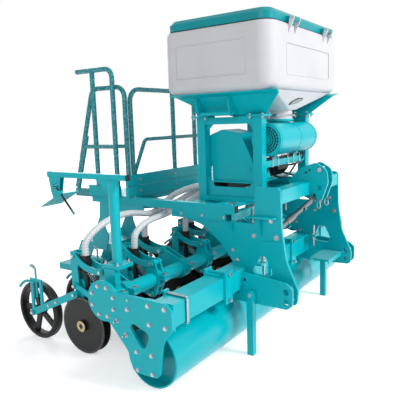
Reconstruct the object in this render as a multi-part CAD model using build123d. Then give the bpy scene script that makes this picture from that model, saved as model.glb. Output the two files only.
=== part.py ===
from build123d import *
import math
import os

# Mounted seed drill with a front packer roller, in millimetres.
# X runs across the machine, +Y to its rear, Z up from the ground.
# While modelling, Y = 0 is the roller's axis. At export everything moves so that
# the origin is the centre of the footprint, on the ground.

# Clearances
FIT = 0.2            # round a welded, clamped or pushed-in piece
SHAFT_GAP = 0.05     # radial, shaft in its bore
RUN_GAP = 6.0        # beside a turning piece

# Packer roller
ROLLER_D = 324.0
ROLLER_HALF = 1176.0
ROLLER_WALL = 8.0
ROLLER_WEB_SET = 60.0
ROLLER_WEB_T = 10.0
ROLLER_SHAFT_D = 60.0
ROLLER_Z = ROLLER_D / 2

# End plates and their bearings
PLATE_T = 16.0
PLATE_GAP = 41.0      # roller's end to the end plate
PLATE_IN = ROLLER_HALF + PLATE_GAP
PLATE_OUT = PLATE_IN + PLATE_T
BEARING_D = 130.0
HOUSING_D = 100.0
BEARING_T = 34.0

# Front beam, a square tube
BEAM = 120.0
BEAM_WALL = 8.0
BEAM_Y = -127.0
BEAM_Z = 443.0
FLANGE_T = 12.0
FLANGE_Y = 170.0
FLANGE_Z = 140.0

# Row beam, a round tube
TUBE_D = 88.9
TUBE_WALL = 8.0
TUBE_Y = 276.0
TUBE_Z = 441.0
TUBE_FLANGE_D = 208.0
LOBE_R = 112.0

# Hitch tower
TOWER_X = 475.0
TOWER_T = 20.0
LINK_X = 547.0
LINK_T = 16.0
LINK_PIN_D = 37.0
LINK_Y = -468.0
LINK_Z = 405.0
LINK_Z_LOW = 346.0
TOP_TUBE = 80.0
TOP_TUBE_WALL = 6.0
TOP_Y = -365.0
TOP_Z = 930.0
TOP_PLATE_T = 16.0
TOP_GAP = 64.0
TOP_PIN_D = 32.0
TOP_PIN_Y = -464.0
TOP_PIN_Z = 1047.0
TOP_PIN_LOW_Z = 934.0

# Sub-frame tubes
RAIL = 50.0
RAIL_WALL = 4.0
RAIL_X = 475.0
RAIL_TOP = 865.0
RAIL_FRONT = -113.0
LOWER_FRONT = -96.0
LOWER_REAR = 360.0

# Platform
DECK_FRONT = 730.0
DECK_REAR = 1092.0
DECK_T = 6.0
DECK_HALF = RAIL_X + RAIL / 2
TOE_T = 25.0
TOE_HALF = DECK_HALF + TOE_T
TOE_H = 76.0
TOE_GAP = 3.0
GUARD_D = 34.0
GUARD_TOP = 1620.0
GUARD_MID = 1255.0
GRAB_TOP = 1740.0
SIDE_RAIL_X = 452.0
GUARD_X = (-400.0, 474.0)
GUARD_POSTS = (80.0, 362.0)

# Steps
STEP_X0 = -480.0
STEP_X1 = -190.0
STEP_T = 5.0
STEP_LIP = 50.0
STEP_TOP_Y = (945.0, 1250.0)
STEP_TOP_Z = 505.0
STEP_LOW_Y = (1240.0, 1543.0)
STEP_LOW_Z = 285.0
FRONT_STEP_Z = 400.0
STEP_DEEP = 138.0
STEP_FRONT = LINK_Y + LINK_PIN_D / 2 + 8
STRINGER_T = 8.0
NEAR_STRINGER_FRONT = 614.0
FAR_STRINGER_FRONT = 490.0

# Hopper frame
POST = 60.0
POST_WALL = 4.0
POST_X = 331.0
POST_FRONT = -200.0
POST_REAR = 205.0
POST_FOOT = 893.0
POST_TOP = 1400.0
POST_BRACE_TOP = 1390.0
POST_FLANGE = 110.0
POST_FLANGE_T = 10.0
FRAME_PLATE_T = 10.0

# Hopper and lid
HOPPER_HALF = 525.0
HOPPER_FRONT = -380.0
HOPPER_REAR = 372.0
HOPPER_FLOOR = 1535.0
HOPPER_TALL = 370.0
HOPPER_TOP = HOPPER_FLOOR + HOPPER_TALL
HOPPER_WALL = 7.0
HOPPER_CORNER = 95.0
HOPPER_EDGE = 45.0
OUTLET_D = 180.0
NECK_END = 1368.0
OUTLET_Z = 1415.0
OUTLET_Y = -165.0
LID_INSET = 20.0
LID_H = 62.0
LID_GAP = 5.0
LID_WALL = 6.0
LID_PIN_D = 12.0
LID_PIN_UP = 23.0     # over the hopper's top
LID_PIN_Z = HOPPER_TOP + LID_PIN_UP
LID_PIN_OUT = 22.0
LID_EARS = (-265.0, 265.0)
LID_EAR_HALF = 42.0
LID_EAR_T = 8.0
LID_BEVEL = 22.0
PANEL_DEEP = 3.0
CRADLE_T = 6.0
CRADLE_EAR_FRONT = -60.0
CRADLE_EAR_REAR = 170.0

# Metering box, fan, motor and manifold
METER_X = (-290.0, -90.0)
FAN_D = 200.0
FAN_Y = -220.0
FAN_Z = 1245.0
FAN_HALF = 285.0
MOTOR_D = 110.0
MOTOR_X = (-70.0, 140.0)
MOTOR_Y = -110.0
POST_BAR = 40.0
POST_BAR_Z = 1096.0
MANIFOLD_REAR = 195.0
MANIFOLD_Z = 941.0
SPOUT = 16.0
SHELF_Z = 979.0
SHELF_T = 6.0
HOSE_PITCH = 50.0

# Rows
ROW_COUNT = 9
ROW_PITCH = 266.0
STAGGER = 145.0
UP_PIVOT = (270.0, 542.0)
LOW_PIVOT = (278.0, 357.0)
ARM_RUN = (219.0, 68.0)
ARM_W = 36.0
ARM_T = 8.0
ARM_IN = 34.0
PIVOT_D = 20.0
BODY_HALF = 30.0
BODY_FRONT = 18.0
DISC_D = 350.0
DISC_T = 4.0
DISC_SPACING = 56.0
DISC_AHEAD = 36.0
DISC_Z = 180.0
AXLE_D = 30.0
HUB_D = 70.0
EYE_D = 64.0
EYE_HALF = 18.0
WHEEL_D = 380.0
WHEEL_W = 56.0
WHEEL_BACK = 393.0
WHEEL_HUB_D = 66.0
WHEEL_SPOKES = 5
WHEEL_ARM_IN = 52.0
WHEEL_ARM_T = 10.0
SLEEVE_D = 54.0
SLEEVE_H = 100.0
SEED_TUBE_D = 32.0
SEED_BACK = 158.0
SEED_TOP = 614.0
SEED_END = 330.0
HOSE_D = 42.0

# Stands
STAND_Y = -262.0
STAND_PIN_Z = 366.0
STAND_W = 40.0
STAND_T = 40.0
STAND_PIN_D = 20.0

# Marker post and arm on the near side
MARK_SET = 113.0      # from the end plate
MARK_X = MARK_SET - PLATE_IN
MARK_D = 56.0
MARK_FOOT = 610.0
MARK_TOP = 1075.0
MARK_ARM = 30.0
MARK_ARM_Y = (170.0, 790.0)

# Row places, from the near end. Every second row is set back.
ROWS = []
for index in range(ROW_COUNT):
    row_x = (index - (ROW_COUNT - 1) / 2) * ROW_PITCH
    row_set = STAGGER if index % 2 == 0 else 0.0
    ROWS.append((row_x, row_set))


# Helpers

def box(x, y, z):
    """Box between (low, high) limits."""
    size = [high - low for low, high in (x, y, z)]
    middle = [(low + high) / 2 for low, high in (x, y, z)]
    return Pos(*middle) * Box(*size)


def bar_x(diameter, x, y, z):
    """Round bar along X between the limits x."""
    length = x[1] - x[0]
    return Pos((x[0] + x[1]) / 2, y, z) * Rot(0, 90, 0) * Cylinder(diameter / 2, length)


def bar_z(diameter, x, y, z):
    """Round bar along Z between the limits z."""
    return Pos(x, y, (z[0] + z[1]) / 2) * Cylinder(diameter / 2, z[1] - z[0])


def bar_between(diameter, start, end):
    """Round bar from one point to another."""
    line = Line(start, end)
    place = Plane(start, z_dir=line % 0)
    return place * Cylinder(diameter / 2, line.length, align=(Align.CENTER, Align.CENTER, Align.MIN))


def outline(rows):
    """Face from rows of (first, second, corner radius)."""
    points = [(a, b) for a, b, r in rows]
    radii = [r for a, b, r in rows]
    return make_face(FilletPolyline(*points, radius=radii, close=True))


def slab_x(face, x):
    """Plate from a face drawn in (Y, Z), between the limits x."""
    return Pos(x[0], 0, 0) * extrude(Plane.YZ * face, x[1] - x[0])


def slab_y(face, y):
    """Plate from a face drawn in (X, Z), between the limits y."""
    return Pos(0, y[1], 0) * extrude(Plane.XZ * face, y[1] - y[0])


def link(start, end, width, x):
    """Flat link with round ends between two (Y, Z) points."""
    dy = end[0] - start[0]
    dz = end[1] - start[1]
    turn = math.degrees(math.atan2(dz, dy))
    slot = SlotCenterToCenter(math.hypot(dy, dz), width)
    middle = Pos((start[0] + end[0]) / 2, (start[1] + end[1]) / 2)
    return slab_x(middle * Rot(0, 0, turn) * slot, x)


def hull(circles, x):
    """Plate round (y, z, radius) circles, between the limits x."""
    edges = []
    for y, z, radius in circles:
        edges += (Pos(y, z) * Circle(radius)).edges()
    return slab_x(make_hull(edges), x)


def square_tube_x(size, wall, x, y, z):
    """Square tube along X."""
    inner = size - 2 * wall
    outer = box(x, (y - size / 2, y + size / 2), (z - size / 2, z + size / 2))
    return outer - box(x, (y - inner / 2, y + inner / 2), (z - inner / 2, z + inner / 2))


def square_tube_y(size, wall, x, y, z):
    """Square tube along Y."""
    inner = size - 2 * wall
    outer = box((x - size / 2, x + size / 2), y, (z - size / 2, z + size / 2))
    return outer - box((x - inner / 2, x + inner / 2), y, (z - inner / 2, z + inner / 2))


def square_tube_z(size, wall, x, y, z):
    """Square tube along Z."""
    inner = size - 2 * wall
    outer = box((x - size / 2, x + size / 2), (y - size / 2, y + size / 2), z)
    return outer - box((x - inner / 2, x + inner / 2), (y - inner / 2, y + inner / 2), z)


def both(shape):
    """The shape and its mirror image across the middle of the machine."""
    return [shape, mirror(shape, Plane.YZ)]


def round_path(points, share=0.45):
    """Straight runs with an arc at each corner, as large as the runs allow."""
    vectors = [Vector(*p) for p in points]
    radii = []
    for a, b, c in zip(vectors, vectors[1:], vectors[2:]):
        turn = math.radians((b - a).get_angle(c - b))
        shorter = min((b - a).length, (c - b).length)
        radii.append(share * shorter / math.tan(turn / 2))
    return FilletPolyline(*points, radius=radii), radii


def pipe(diameter, points, radius):
    """Round pipe along points with one bend radius."""
    path = FilletPolyline(*points, radius=radius)
    return sweep(Plane(path @ 0, z_dir=path % 0) * Circle(diameter / 2), path=path)


# Roller

def packer_roller():
    drum = bar_x(ROLLER_D, (-ROLLER_HALF, ROLLER_HALF), 0, ROLLER_Z)
    bore = bar_x(ROLLER_D - 2 * ROLLER_WALL, (-ROLLER_HALF, ROLLER_HALF), 0, ROLLER_Z)
    drum -= bore
    web_x = ROLLER_HALF - ROLLER_WEB_SET
    shaft_end = PLATE_IN - 4
    for side in (-1, 1):
        web = sorted((side * web_x, side * (web_x - ROLLER_WEB_T)))
        shaft = sorted((side * (web_x - ROLLER_WEB_T), side * shaft_end))
        drum += bar_x(ROLLER_D - ROLLER_WALL, web, 0, ROLLER_Z)
        drum += bar_x(ROLLER_SHAFT_D, shaft, 0, ROLLER_Z)
    return [drum]


def roller_bearings():
    bore = ROLLER_SHAFT_D + 2 * SHAFT_GAP
    half = BEARING_D / 2
    flange = box((PLATE_IN - 12, PLATE_IN), (-half, half), (ROLLER_Z - half, ROLLER_Z + half))
    housing = flange + bar_x(HOUSING_D, (PLATE_IN - BEARING_T, PLATE_IN), 0, ROLLER_Z)
    housing -= bar_x(bore, (PLATE_IN - BEARING_T, PLATE_IN), 0, ROLLER_Z)
    return both(housing)


# End plates

END_PLATE = [
    # y, z, corner radius
    (-150, 505, 40),
    (-187, 475, 30),
    (-187, 372, 40),
    (-122, 290, 120),
    (-92, 96, 36),
    (78, 92, 36),
    (110, 200, 90),
    (232, 330, 60),
    (300, 345, 20),
    (300, 505, 20),
]

END_WINDOW = [
    (122, 378, 22),
    (-46, 322, 30),
    (2, 212, 26),
]


def end_plates():
    face = outline(END_PLATE) + Pos(TUBE_Y, TUBE_Z) * Circle(LOBE_R)
    face -= outline(END_WINDOW)
    return both(slab_x(face, (PLATE_IN, PLATE_OUT)))


def front_beam():
    half = PLATE_IN - FLANGE_T
    beam = square_tube_x(BEAM, BEAM_WALL, (-half, half), BEAM_Y, BEAM_Z)
    y0 = BEAM_Y - BEAM / 2
    z1 = BEAM_Z + BEAM / 2
    for side in (-1, 1):
        ends = sorted((side * half, side * PLATE_IN))
        beam += box(ends, (y0, y0 + FLANGE_Y), (z1 - FLANGE_Z, z1))
    return [beam]


def row_beam():
    half = PLATE_IN - FLANGE_T
    beam = bar_x(TUBE_D, (-half, half), TUBE_Y, TUBE_Z)
    beam -= bar_x(TUBE_D - 2 * TUBE_WALL, (-half, half), TUBE_Y, TUBE_Z)
    for side in (-1, 1):
        ends = sorted((side * half, side * PLATE_IN))
        beam += bar_x(TUBE_FLANGE_D, ends, TUBE_Y, TUBE_Z)
    return [beam]


# Hitch tower

TOWER = [
    (-405, 985, 26),
    (-412, 744, 300),
    (-440, 560, 200),
    (-512, 400, 60),
    (-505, 312, 26),
    (-187, 300, 20),
    (-103, 330, 20),
    (-100, 500, 60),
    (-19, 610, 300),
    (118, 725, 200),
    (285, 765, 0),
    (-236, 765, 0),
    (-250, 985, 0),
]

TOWER_WINDOW = [
    (-215, 460, 26),
    (-375, 455, 30),
    (-290, 625, 34),
]


DOUBLER = [
    # Y, Z, corner radius
    (-103, 330, 0),
    (-103, 460, 30),
    (-175, 575, 90),
    (-300, 672, 110),
    (-416, 672, 20),
    (-430, 560, 120),
    (-440, 470, 20),
    (-440, 330, 20),
]
DOUBLER_T = 6.0
SHELF_RIB_Z = 806.0
RIB_T = 8.0
RIB_END = 702.0
# Rib places, as (Y, top)
TOWER_RIBS = [
    (-92.0, RAIL_TOP - 2 * RAIL),
    (-285.0, SHELF_RIB_Z),
]


def tower_plates():
    face = outline(TOWER) - outline(TOWER_WINDOW)
    for z in (LINK_Z, LINK_Z_LOW):
        face -= Pos(LINK_Y, z) * Circle(LINK_PIN_D / 2)
    beam = BEAM + 2 * FIT
    face -= Pos(BEAM_Y, BEAM_Z) * Rectangle(beam, beam)
    out = TOWER_X + TOWER_T / 2
    plate = slab_x(face, (TOWER_X - TOWER_T / 2, out))
    # Doubler on the outer face, round the window and behind the link plate
    doubler = outline(DOUBLER) - outline(TOWER_WINDOW)
    doubler -= Pos(BEAM_Y, BEAM_Z) * Rectangle(beam, beam)
    plate += slab_x(doubler, (out, out + DOUBLER_T))
    # Ribs and shelf under the platform's cross tube
    shelf = [
        (out, -205, 0),
        (out, -388, 0),
        (out + 30, -376, 10),
        (out + 44, -330, 10),
        (out + 44, -205, 0),
    ]
    plate += Pos(0, 0, SHELF_RIB_Z) * extrude(outline(shelf), RIB_T)
    for y, top in TOWER_RIBS:
        rib = [(out, top, 0), (out + 38, top, 0), (out + 6, RIB_END, 4), (out, RIB_END, 0)]
        plate += slab_y(outline(rib), (y - RIB_T / 2, y + RIB_T / 2))
    return both(plate)


LINK_PLATE = [
    (BEAM_Y - BEAM / 2, 484, 0),
    (-470, 458, 30),
    (-510, 425, 30),
    (-508, 330, 34),
    (-476, 306, 30),
    (-110, 306, 20),
    (-110, BEAM_Z - BEAM / 2, 0),
    (BEAM_Y - BEAM / 2, BEAM_Z - BEAM / 2, 0),
]


def link_plates():
    face = outline(LINK_PLATE)
    for z in (LINK_Z, LINK_Z_LOW):
        face -= Pos(LINK_Y, z) * Circle(LINK_PIN_D / 2)
    face -= Pos(STAND_Y, STAND_PIN_Z) * Circle(STAND_PIN_D / 2 + SHAFT_GAP)
    plate = slab_x(face, (LINK_X - LINK_T / 2, LINK_X + LINK_T / 2))
    spacer_x = (TOWER_X + TOWER_T / 2, LINK_X - LINK_T / 2)
    spacer = box(spacer_x, (BEAM_Y - BEAM / 2 - 60, BEAM_Y - BEAM / 2), (306, 318))
    return both(plate + spacer)


TOP_PLATE = [
    (-255, 970, 10),
    (-350, 1062, 60),
    (-440, 1092, 40),
    (-512, 1050, 50),
    (-522, 970, 60),
    (-480, 850, 26),
    (-440, 845, 20),
    (-320, 890, 10),
]


def top_hitch():
    reach = TOWER_X - TOWER_T / 2
    tube = square_tube_x(TOP_TUBE, TOP_TUBE_WALL, (-reach, reach), TOP_Y, TOP_Z)
    face = outline(TOP_PLATE)
    for y, z in ((TOP_PIN_Y, TOP_PIN_Z), (TOP_PIN_Y, TOP_PIN_LOW_Z)):
        face -= Pos(y, z) * Circle(TOP_PIN_D / 2)
    hollow = TOP_TUBE - 2 * TOP_TUBE_WALL
    face -= Pos(TOP_Y, TOP_Z) * Rectangle(hollow, hollow)
    inner = TOP_GAP / 2
    for side in (-1, 1):
        x = sorted((side * inner, side * (inner + TOP_PLATE_T)))
        tube += slab_x(face, x)
    return [tube]


STRUT_FOOT = (-TOWER_X + TOWER_T / 2 + 40, BEAM_Y, BEAM_Z + BEAM / 2)
STRUT_HEAD = (-TOP_GAP / 2 - TOP_PLATE_T - 14, -430.0, 862.0)


def adjuster_strut():
    foot_x, foot_y, foot_z = STRUT_FOOT
    foot = box((foot_x - 40, foot_x + 40), (foot_y - 40, foot_y + 40), (foot_z, foot_z + 12))
    start = (foot_x, foot_y, foot_z + 18)
    strut = foot + bar_z(36, foot_x, foot_y, (foot_z + 12, foot_z + 22)) + bar_between(30, start, STRUT_HEAD)
    way = Vector(*STRUT_HEAD) - Vector(*start)
    low = Vector(*start) + way * 0.62
    high = Vector(*start) + way * 0.72
    strut += bar_between(46, low, high)
    nut = Vector(*start) + way * 0.84
    strut += Pos(nut.X, nut.Y, nut.Z) * Box(16, 56, 16)
    side = Vector(0, 30, 26)
    strut += bar_between(16, Vector(*start) + way * 0.12 + side, Vector(*start) + way * 0.58 + side)
    for share in (0.16, 0.5):
        strut += bar_between(12, Vector(*start) + way * share, Vector(*start) + way * share + side)
    head_x, head_y, head_z = STRUT_HEAD
    plate_x = -TOP_GAP / 2 - TOP_PLATE_T
    strut += bar_x(40, (head_x - 16, plate_x), head_y, head_z)
    return [strut]


# Clamps on the front beam

CLAMP_XS = (165.0, 720.0)
UBOLT_SET = 105.0     # from the end plate
UBOLT_X = PLATE_IN - UBOLT_SET
UBOLT_D = 16.0
UBOLT_GAP = 0.3       # beside the beam


def beam_clamps():
    pieces = []
    y0 = BEAM_Y - BEAM / 2
    y1 = BEAM_Y + BEAM / 2
    for x in CLAMP_XS:
        wide = (x - 36, x + 36)
        tall = (BEAM_Z - 92, BEAM_Z + 92)
        clamp = box(wide, (y0 - 14, y0), tall) + box(wide, (y1, y1 + 14), tall)
        for dz in (-76, 76):
            stud = Pos(x, BEAM_Y, BEAM_Z + dz) * Rot(90, 0, 0) * Cylinder(9, BEAM + 40)
            clamp += stud
        clamp += box((x - 36, x + 36), (y0, y1), (BEAM_Z + BEAM / 2, BEAM_Z + BEAM / 2 + 10))
        pieces += both(clamp)
    # Bolt bent round the beam's end, with a bar across its legs behind the beam
    out = UBOLT_D / 2 + UBOLT_GAP
    front = y0 - out
    high = BEAM_Z + BEAM / 2 + out
    low = BEAM_Z - BEAM / 2 - out
    rear = y1 + 34
    route = [(UBOLT_X, rear, high), (UBOLT_X, front, high), (UBOLT_X, front, low), (UBOLT_X, rear, low)]
    bolt = pipe(UBOLT_D, route, UBOLT_D / 2 + 1)
    bolt += box((UBOLT_X - 20, UBOLT_X + 20), (y1, y1 + 12), (low - 16, high + 16))
    pieces += both(bolt)
    return pieces


# Row units

def unit_clamps():
    pieces = []
    for x, back in ROWS:
        up = (UP_PIVOT[0] + back, UP_PIVOT[1])
        low = (LOW_PIVOT[0] + back, LOW_PIVOT[1])
        ring = TUBE_D / 2 + 16
        clamp = bar_x(2 * ring, (x - 28, x + 28), TUBE_Y, TUBE_Z)
        ear_y = TUBE_Y - ring
        for z0 in (TUBE_Z + 8, TUBE_Z + 26):
            clamp += box((x - 26, x + 26), (ear_y - 36, TUBE_Y), (z0, z0 + 14))
        for side in (-1, 1):
            cheek = sorted((x + side * 18, x + side * 28))
            circles = [(up[0], up[1], 24), (low[0], low[1], 24), (TUBE_Y, TUBE_Z, ring)]
            clamp += hull(circles, cheek)
        for y, z in (up, low):
            clamp += bar_x(PIVOT_D, (x - ARM_IN - ARM_T - 6, x + ARM_IN + ARM_T + 6), y, z)
            clamp += bar_x(PIVOT_D + 16, (x - 28, x + 28), y, z)
        clamp -= bar_x(TUBE_D + 2 * FIT, (x - 60, x + 60), TUBE_Y, TUBE_Z)
        pieces.append(clamp)
    return pieces


def row_points(back):
    """Pivots and centres of a row, as (Y, Z)."""
    up = (UP_PIVOT[0] + back, UP_PIVOT[1])
    low = (LOW_PIVOT[0] + back, LOW_PIVOT[1])
    up_rear = (up[0] + ARM_RUN[0], up[1] + ARM_RUN[1])
    low_rear = (low[0] + ARM_RUN[0], low[1] + ARM_RUN[1])
    disc = (low_rear[0] - DISC_AHEAD, DISC_Z)
    wheel = (low_rear[0] + WHEEL_BACK, WHEEL_D / 2)
    return up, low, up_rear, low_rear, disc, wheel


def upper_arms():
    pieces = []
    for x, back in ROWS:
        up, low, up_rear, low_rear, disc, wheel = row_points(back)
        middle = (up[0] + ARM_RUN[0] * 0.52, up[1] + ARM_RUN[1] * 0.12)
        face = SlotArc(ThreePointArc(up, middle, up_rear), ARM_W)
        for y, z in (up, up_rear):
            face -= Pos(y, z) * Circle(PIVOT_D / 2 + SHAFT_GAP)
        for side in (-1, 1):
            pieces.append(slab_x(face, sorted((x + side * ARM_IN, x + side * (ARM_IN + ARM_T)))))
    return pieces


def lower_arms():
    pieces = []
    for x, back in ROWS:
        up, low, up_rear, low_rear, disc, wheel = row_points(back)
        for side in (-1, 1):
            limits = sorted((x + side * ARM_IN, x + side * (ARM_IN + ARM_T)))
            arm = link(low, low_rear, ARM_W, limits)
            for y, z in (low, low_rear):
                arm -= bar_x(PIVOT_D + 2 * SHAFT_GAP, limits, y, z)
            pieces.append(arm)
    return pieces


def unit_bodies():
    pieces = []
    for x, back in ROWS:
        up, low, up_rear, low_rear, disc, wheel = row_points(back)
        front = up_rear[0] - BODY_FRONT
        rear = up_rear[0] + 40
        body = box((x - BODY_HALF, x + BODY_HALF), (front, rear), (low_rear[1] - 25, up_rear[1] + 22))
        inside = (x - BODY_HALF + 8, x + BODY_HALF - 8)
        body -= box(inside, (front - 1, rear - 8), (low_rear[1] + 5, up_rear[1] + 30))
        for y, z in (up_rear, low_rear):
            body += bar_x(PIVOT_D, (x - ARM_IN - ARM_T - 6, x + ARM_IN + ARM_T + 6), y, z)
        pivot = (low_rear[0] - 15, low_rear[1] - 45)
        circles = [(pivot[0], pivot[1], 30), (low_rear[0] + 5, low_rear[1], 30)]
        body += hull(circles, (x - EYE_HALF, x + EYE_HALF))
        body += bar_x(PIVOT_D, (x - WHEEL_ARM_IN - WHEEL_ARM_T - 6, x), pivot[0], pivot[1])
        leg = hull([(pivot[0], pivot[1], 26), (disc[0], disc[1], EYE_D / 2)], (x - EYE_HALF, x + EYE_HALF))
        body += leg
        body -= bar_x(AXLE_D + 2 * SHAFT_GAP, (x - 60, x + 60), disc[0], disc[1])
        pieces.append(body)
    return pieces


def seed_tubes():
    pieces = []
    for x, back in ROWS:
        y = UP_PIVOT[0] + back + SEED_BACK
        sleeve = bar_z(SLEEVE_D, x, y, (SEED_TOP - SLEEVE_H, SEED_TOP))
        tube = sleeve + bar_z(SEED_TUBE_D, x, y, (SEED_END, SEED_TOP - SLEEVE_H))
        tube -= bar_z(SEED_TUBE_D - 6, x, y, (SEED_END, SEED_TOP - 30))
        tube -= bar_z(HOSE_D + 2 * FIT, x, y, (SEED_TOP - 30, SEED_TOP))
        front = UP_PIVOT[0] + back + ARM_RUN[0] - BODY_FRONT
        low = SEED_TOP - SLEEVE_H
        ledge = box((x - BODY_HALF, x + BODY_HALF), (y + SEED_TUBE_D / 2 - 2, front), (low, low + 8))
        tube += ledge
        pieces.append(tube)
    return pieces


def disc_pair(x, back):
    disc_y, disc_z = row_points(back)[4]
    half = DISC_SPACING / 2
    pair = bar_x(AXLE_D, (x - half - 20, x + half + 20), disc_y, disc_z)
    for side in (-1, 1):
        face = x + side * half
        pair += bar_x(DISC_D, sorted((face, face - side * DISC_T)), disc_y, disc_z)
        pair += bar_x(HUB_D, sorted((face, x + side * (EYE_HALF + RUN_GAP))), disc_y, disc_z)
        pair += bar_x(HUB_D, sorted((face, face + side * 16)), disc_y, disc_z)
    return [pair]


def wheel_profile():
    """Half section of the press wheel's rim and tyre, as (radius, width)."""
    r = WHEEL_D / 2
    w = WHEEL_W / 2
    return [
        (r - 34, -w + 6, 0),
        (r - 10, -w, 8),
        (r, -w + 10, 8),
        (r, w - 10, 8),
        (r - 10, w, 8),
        (r - 34, w - 6, 0),
    ]


def press_wheel(x, back):
    wheel_y, wheel_z = row_points(back)[5]
    rim = revolve(Plane.XZ * outline(wheel_profile()), Axis.Z)
    wheel = rim
    wheel += Cylinder(WHEEL_HUB_D / 2, WHEEL_W)
    reach = WHEEL_D / 2 - 30
    for index in range(WHEEL_SPOKES):
        spoke = Pos(reach / 2, 0, 0) * Box(reach, 34, 18)
        wheel += Rot(0, 0, 90 + index * 360 / WHEEL_SPOKES) * spoke
    wheel -= Cylinder(AXLE_D / 2 + SHAFT_GAP, WHEEL_W * 2)
    return [Pos(x, wheel_y, wheel_z) * Rot(0, 90, 0) * wheel]


def wheel_arms():
    pieces = []
    for x, back in ROWS:
        up, low, up_rear, low_rear, disc, wheel = row_points(back)
        limits = (x - WHEEL_ARM_IN - WHEEL_ARM_T, x - WHEEL_ARM_IN)
        pivot = (low_rear[0] - 15, low_rear[1] - 45)
        arm = link(pivot, wheel, 44, limits)
        arm += bar_x(AXLE_D, (limits[0] - 6, x + WHEEL_W / 2 + 6), wheel[0], wheel[1])
        arm += bar_x(AXLE_D + 14, (limits[0], x - WHEEL_W / 2 - RUN_GAP), wheel[0], wheel[1])
        arm -= bar_x(PIVOT_D + 2 * SHAFT_GAP, limits, pivot[0], pivot[1])
        top = WHEEL_D + 40
        for dy in (-8, -96):
            foot = wheel[1] + (18 if dy > -50 else 40)
            arm += box(limits, (wheel[0] + dy - 12, wheel[0] + dy + 12), (foot, top))
        arm += box(limits, (wheel[0] - 108, wheel[0] + 4), (top - 14, top))
        crank_x = limits[0] + 5
        crank_y = wheel[0] - 52
        arm += bar_between(12, (crank_x, crank_y, top - 120), (crank_x, crank_y, top + 70))
        arm += bar_between(12, (crank_x, crank_y, top + 66), (crank_x, crank_y + 48, top + 84))
        pieces.append(arm)
    return pieces


# Hopper frame

def hopper_frame():
    frame = None
    for x in (-POST_X, POST_X):
        for y in (POST_FRONT, POST_REAR):
            post = square_tube_z(POST, POST_WALL, x, y, (POST_FOOT, POST_TOP - POST_FLANGE_T))
            wide = (x - POST_FLANGE / 2, x + POST_FLANGE / 2)
            deep = (y - POST_FLANGE / 2, y + POST_FLANGE / 2)
            flange = box(wide, deep, (POST_TOP - POST_FLANGE_T, POST_TOP))
            frame = post + flange if frame is None else frame + post + flange
    for side in (-1, 1):
        x = sorted((side * (POST_X - 5), side * (POST_X - 5 + FRAME_PLATE_T)))
        y = (POST_FRONT, POST_REAR)
        between = (y[0] + POST / 2, y[1] - POST / 2)
        frame += box((x[0] - 20, x[1] + 20), between, (POST_BRACE_TOP - 43, POST_BRACE_TOP))
        low = [
            (POST_FRONT + POST / 2, POST_FOOT, 0),
            (POST_REAR - POST / 2, POST_FOOT, 0),
            (POST_REAR - POST / 2, POST_FOOT + 120, 0),
            (POST_REAR - POST / 2 - 50, POST_FOOT + 60, 0),
            (POST_FRONT + POST / 2 + 50, POST_FOOT + 60, 0),
            (POST_FRONT + POST / 2, POST_FOOT + 120, 0),
        ]
        frame += slab_x(outline(low), x)
        for near, way in ((POST_FRONT + POST / 2, 1), (POST_REAR - POST / 2, -1)):
            top = POST_BRACE_TOP - 43
            corner = [(near, top, 0), (near + way * 45, top, 0), (near, top - 45, 0)]
            frame += slab_x(outline(corner), x)
    for y in (POST_FRONT, POST_REAR):
        frame += square_tube_x(POST_BAR, 4, (-POST_X + POST / 2, POST_X - POST / 2), y, POST_BAR_Z)
    between = (POST_FRONT + POST / 2, POST_REAR - POST / 2)
    frame += box((-POST_X + 5, POST_X - 5), between, (SHELF_Z, SHELF_Z + SHELF_T))
    return frame.solids()


def sub_frame():
    inner = RAIL_X - RAIL / 2
    top_z = RAIL_TOP - RAIL / 2
    low_z = RAIL_TOP - 3 * RAIL / 2
    frame = None
    for x in (-RAIL_X, RAIL_X):
        upper = square_tube_y(RAIL, RAIL_WALL, x, (RAIL_FRONT, DECK_REAR), top_z)
        lower = square_tube_y(RAIL, RAIL_WALL, x, (LOWER_FRONT + RAIL, LOWER_REAR), low_z)
        frame = upper + lower if frame is None else frame + upper + lower
    reach = RAIL_X + RAIL / 2
    frame += square_tube_x(RAIL, RAIL_WALL, (-reach, reach), LOWER_FRONT + RAIL / 2, low_z)
    for y in (RAIL_FRONT + 130, POST_REAR, DECK_FRONT + 40, DECK_REAR - 40):
        frame += square_tube_x(RAIL, RAIL_WALL, (-inner, inner), y, top_z)
    # Bearers under the hopper frame's posts
    for x in (-POST_X, POST_X):
        front = POST_FRONT - POST / 2
        rear = POST_REAR + POST / 2
        frame += box((x - POST / 2, x + POST / 2), (front, rear), (RAIL_TOP, POST_FOOT))
    return frame.solids()


# Hopper

HOPPER_MIDDLE = (HOPPER_FRONT + HOPPER_REAR) / 2
HOPPER_LENGTH = HOPPER_REAR - HOPPER_FRONT


def hopper_funnel(inset):
    """Slanted bottom of the hopper, from its floor to the outlet ring."""
    corner = HOPPER_CORNER - 25 - inset
    wide = 2 * HOPPER_HALF - 60 - 2 * inset
    deep = HOPPER_LENGTH - 60 - 2 * inset
    top = Pos(0, HOPPER_MIDDLE, HOPPER_FLOOR + inset) * RectangleRounded(wide, deep, corner)
    ring = OUTLET_D + 20 - 2 * inset
    low = Pos(0, OUTLET_Y, OUTLET_Z + 10 + inset) * RectangleRounded(ring, ring, ring * 0.3)
    return loft([low, top], ruled=True)


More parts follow.
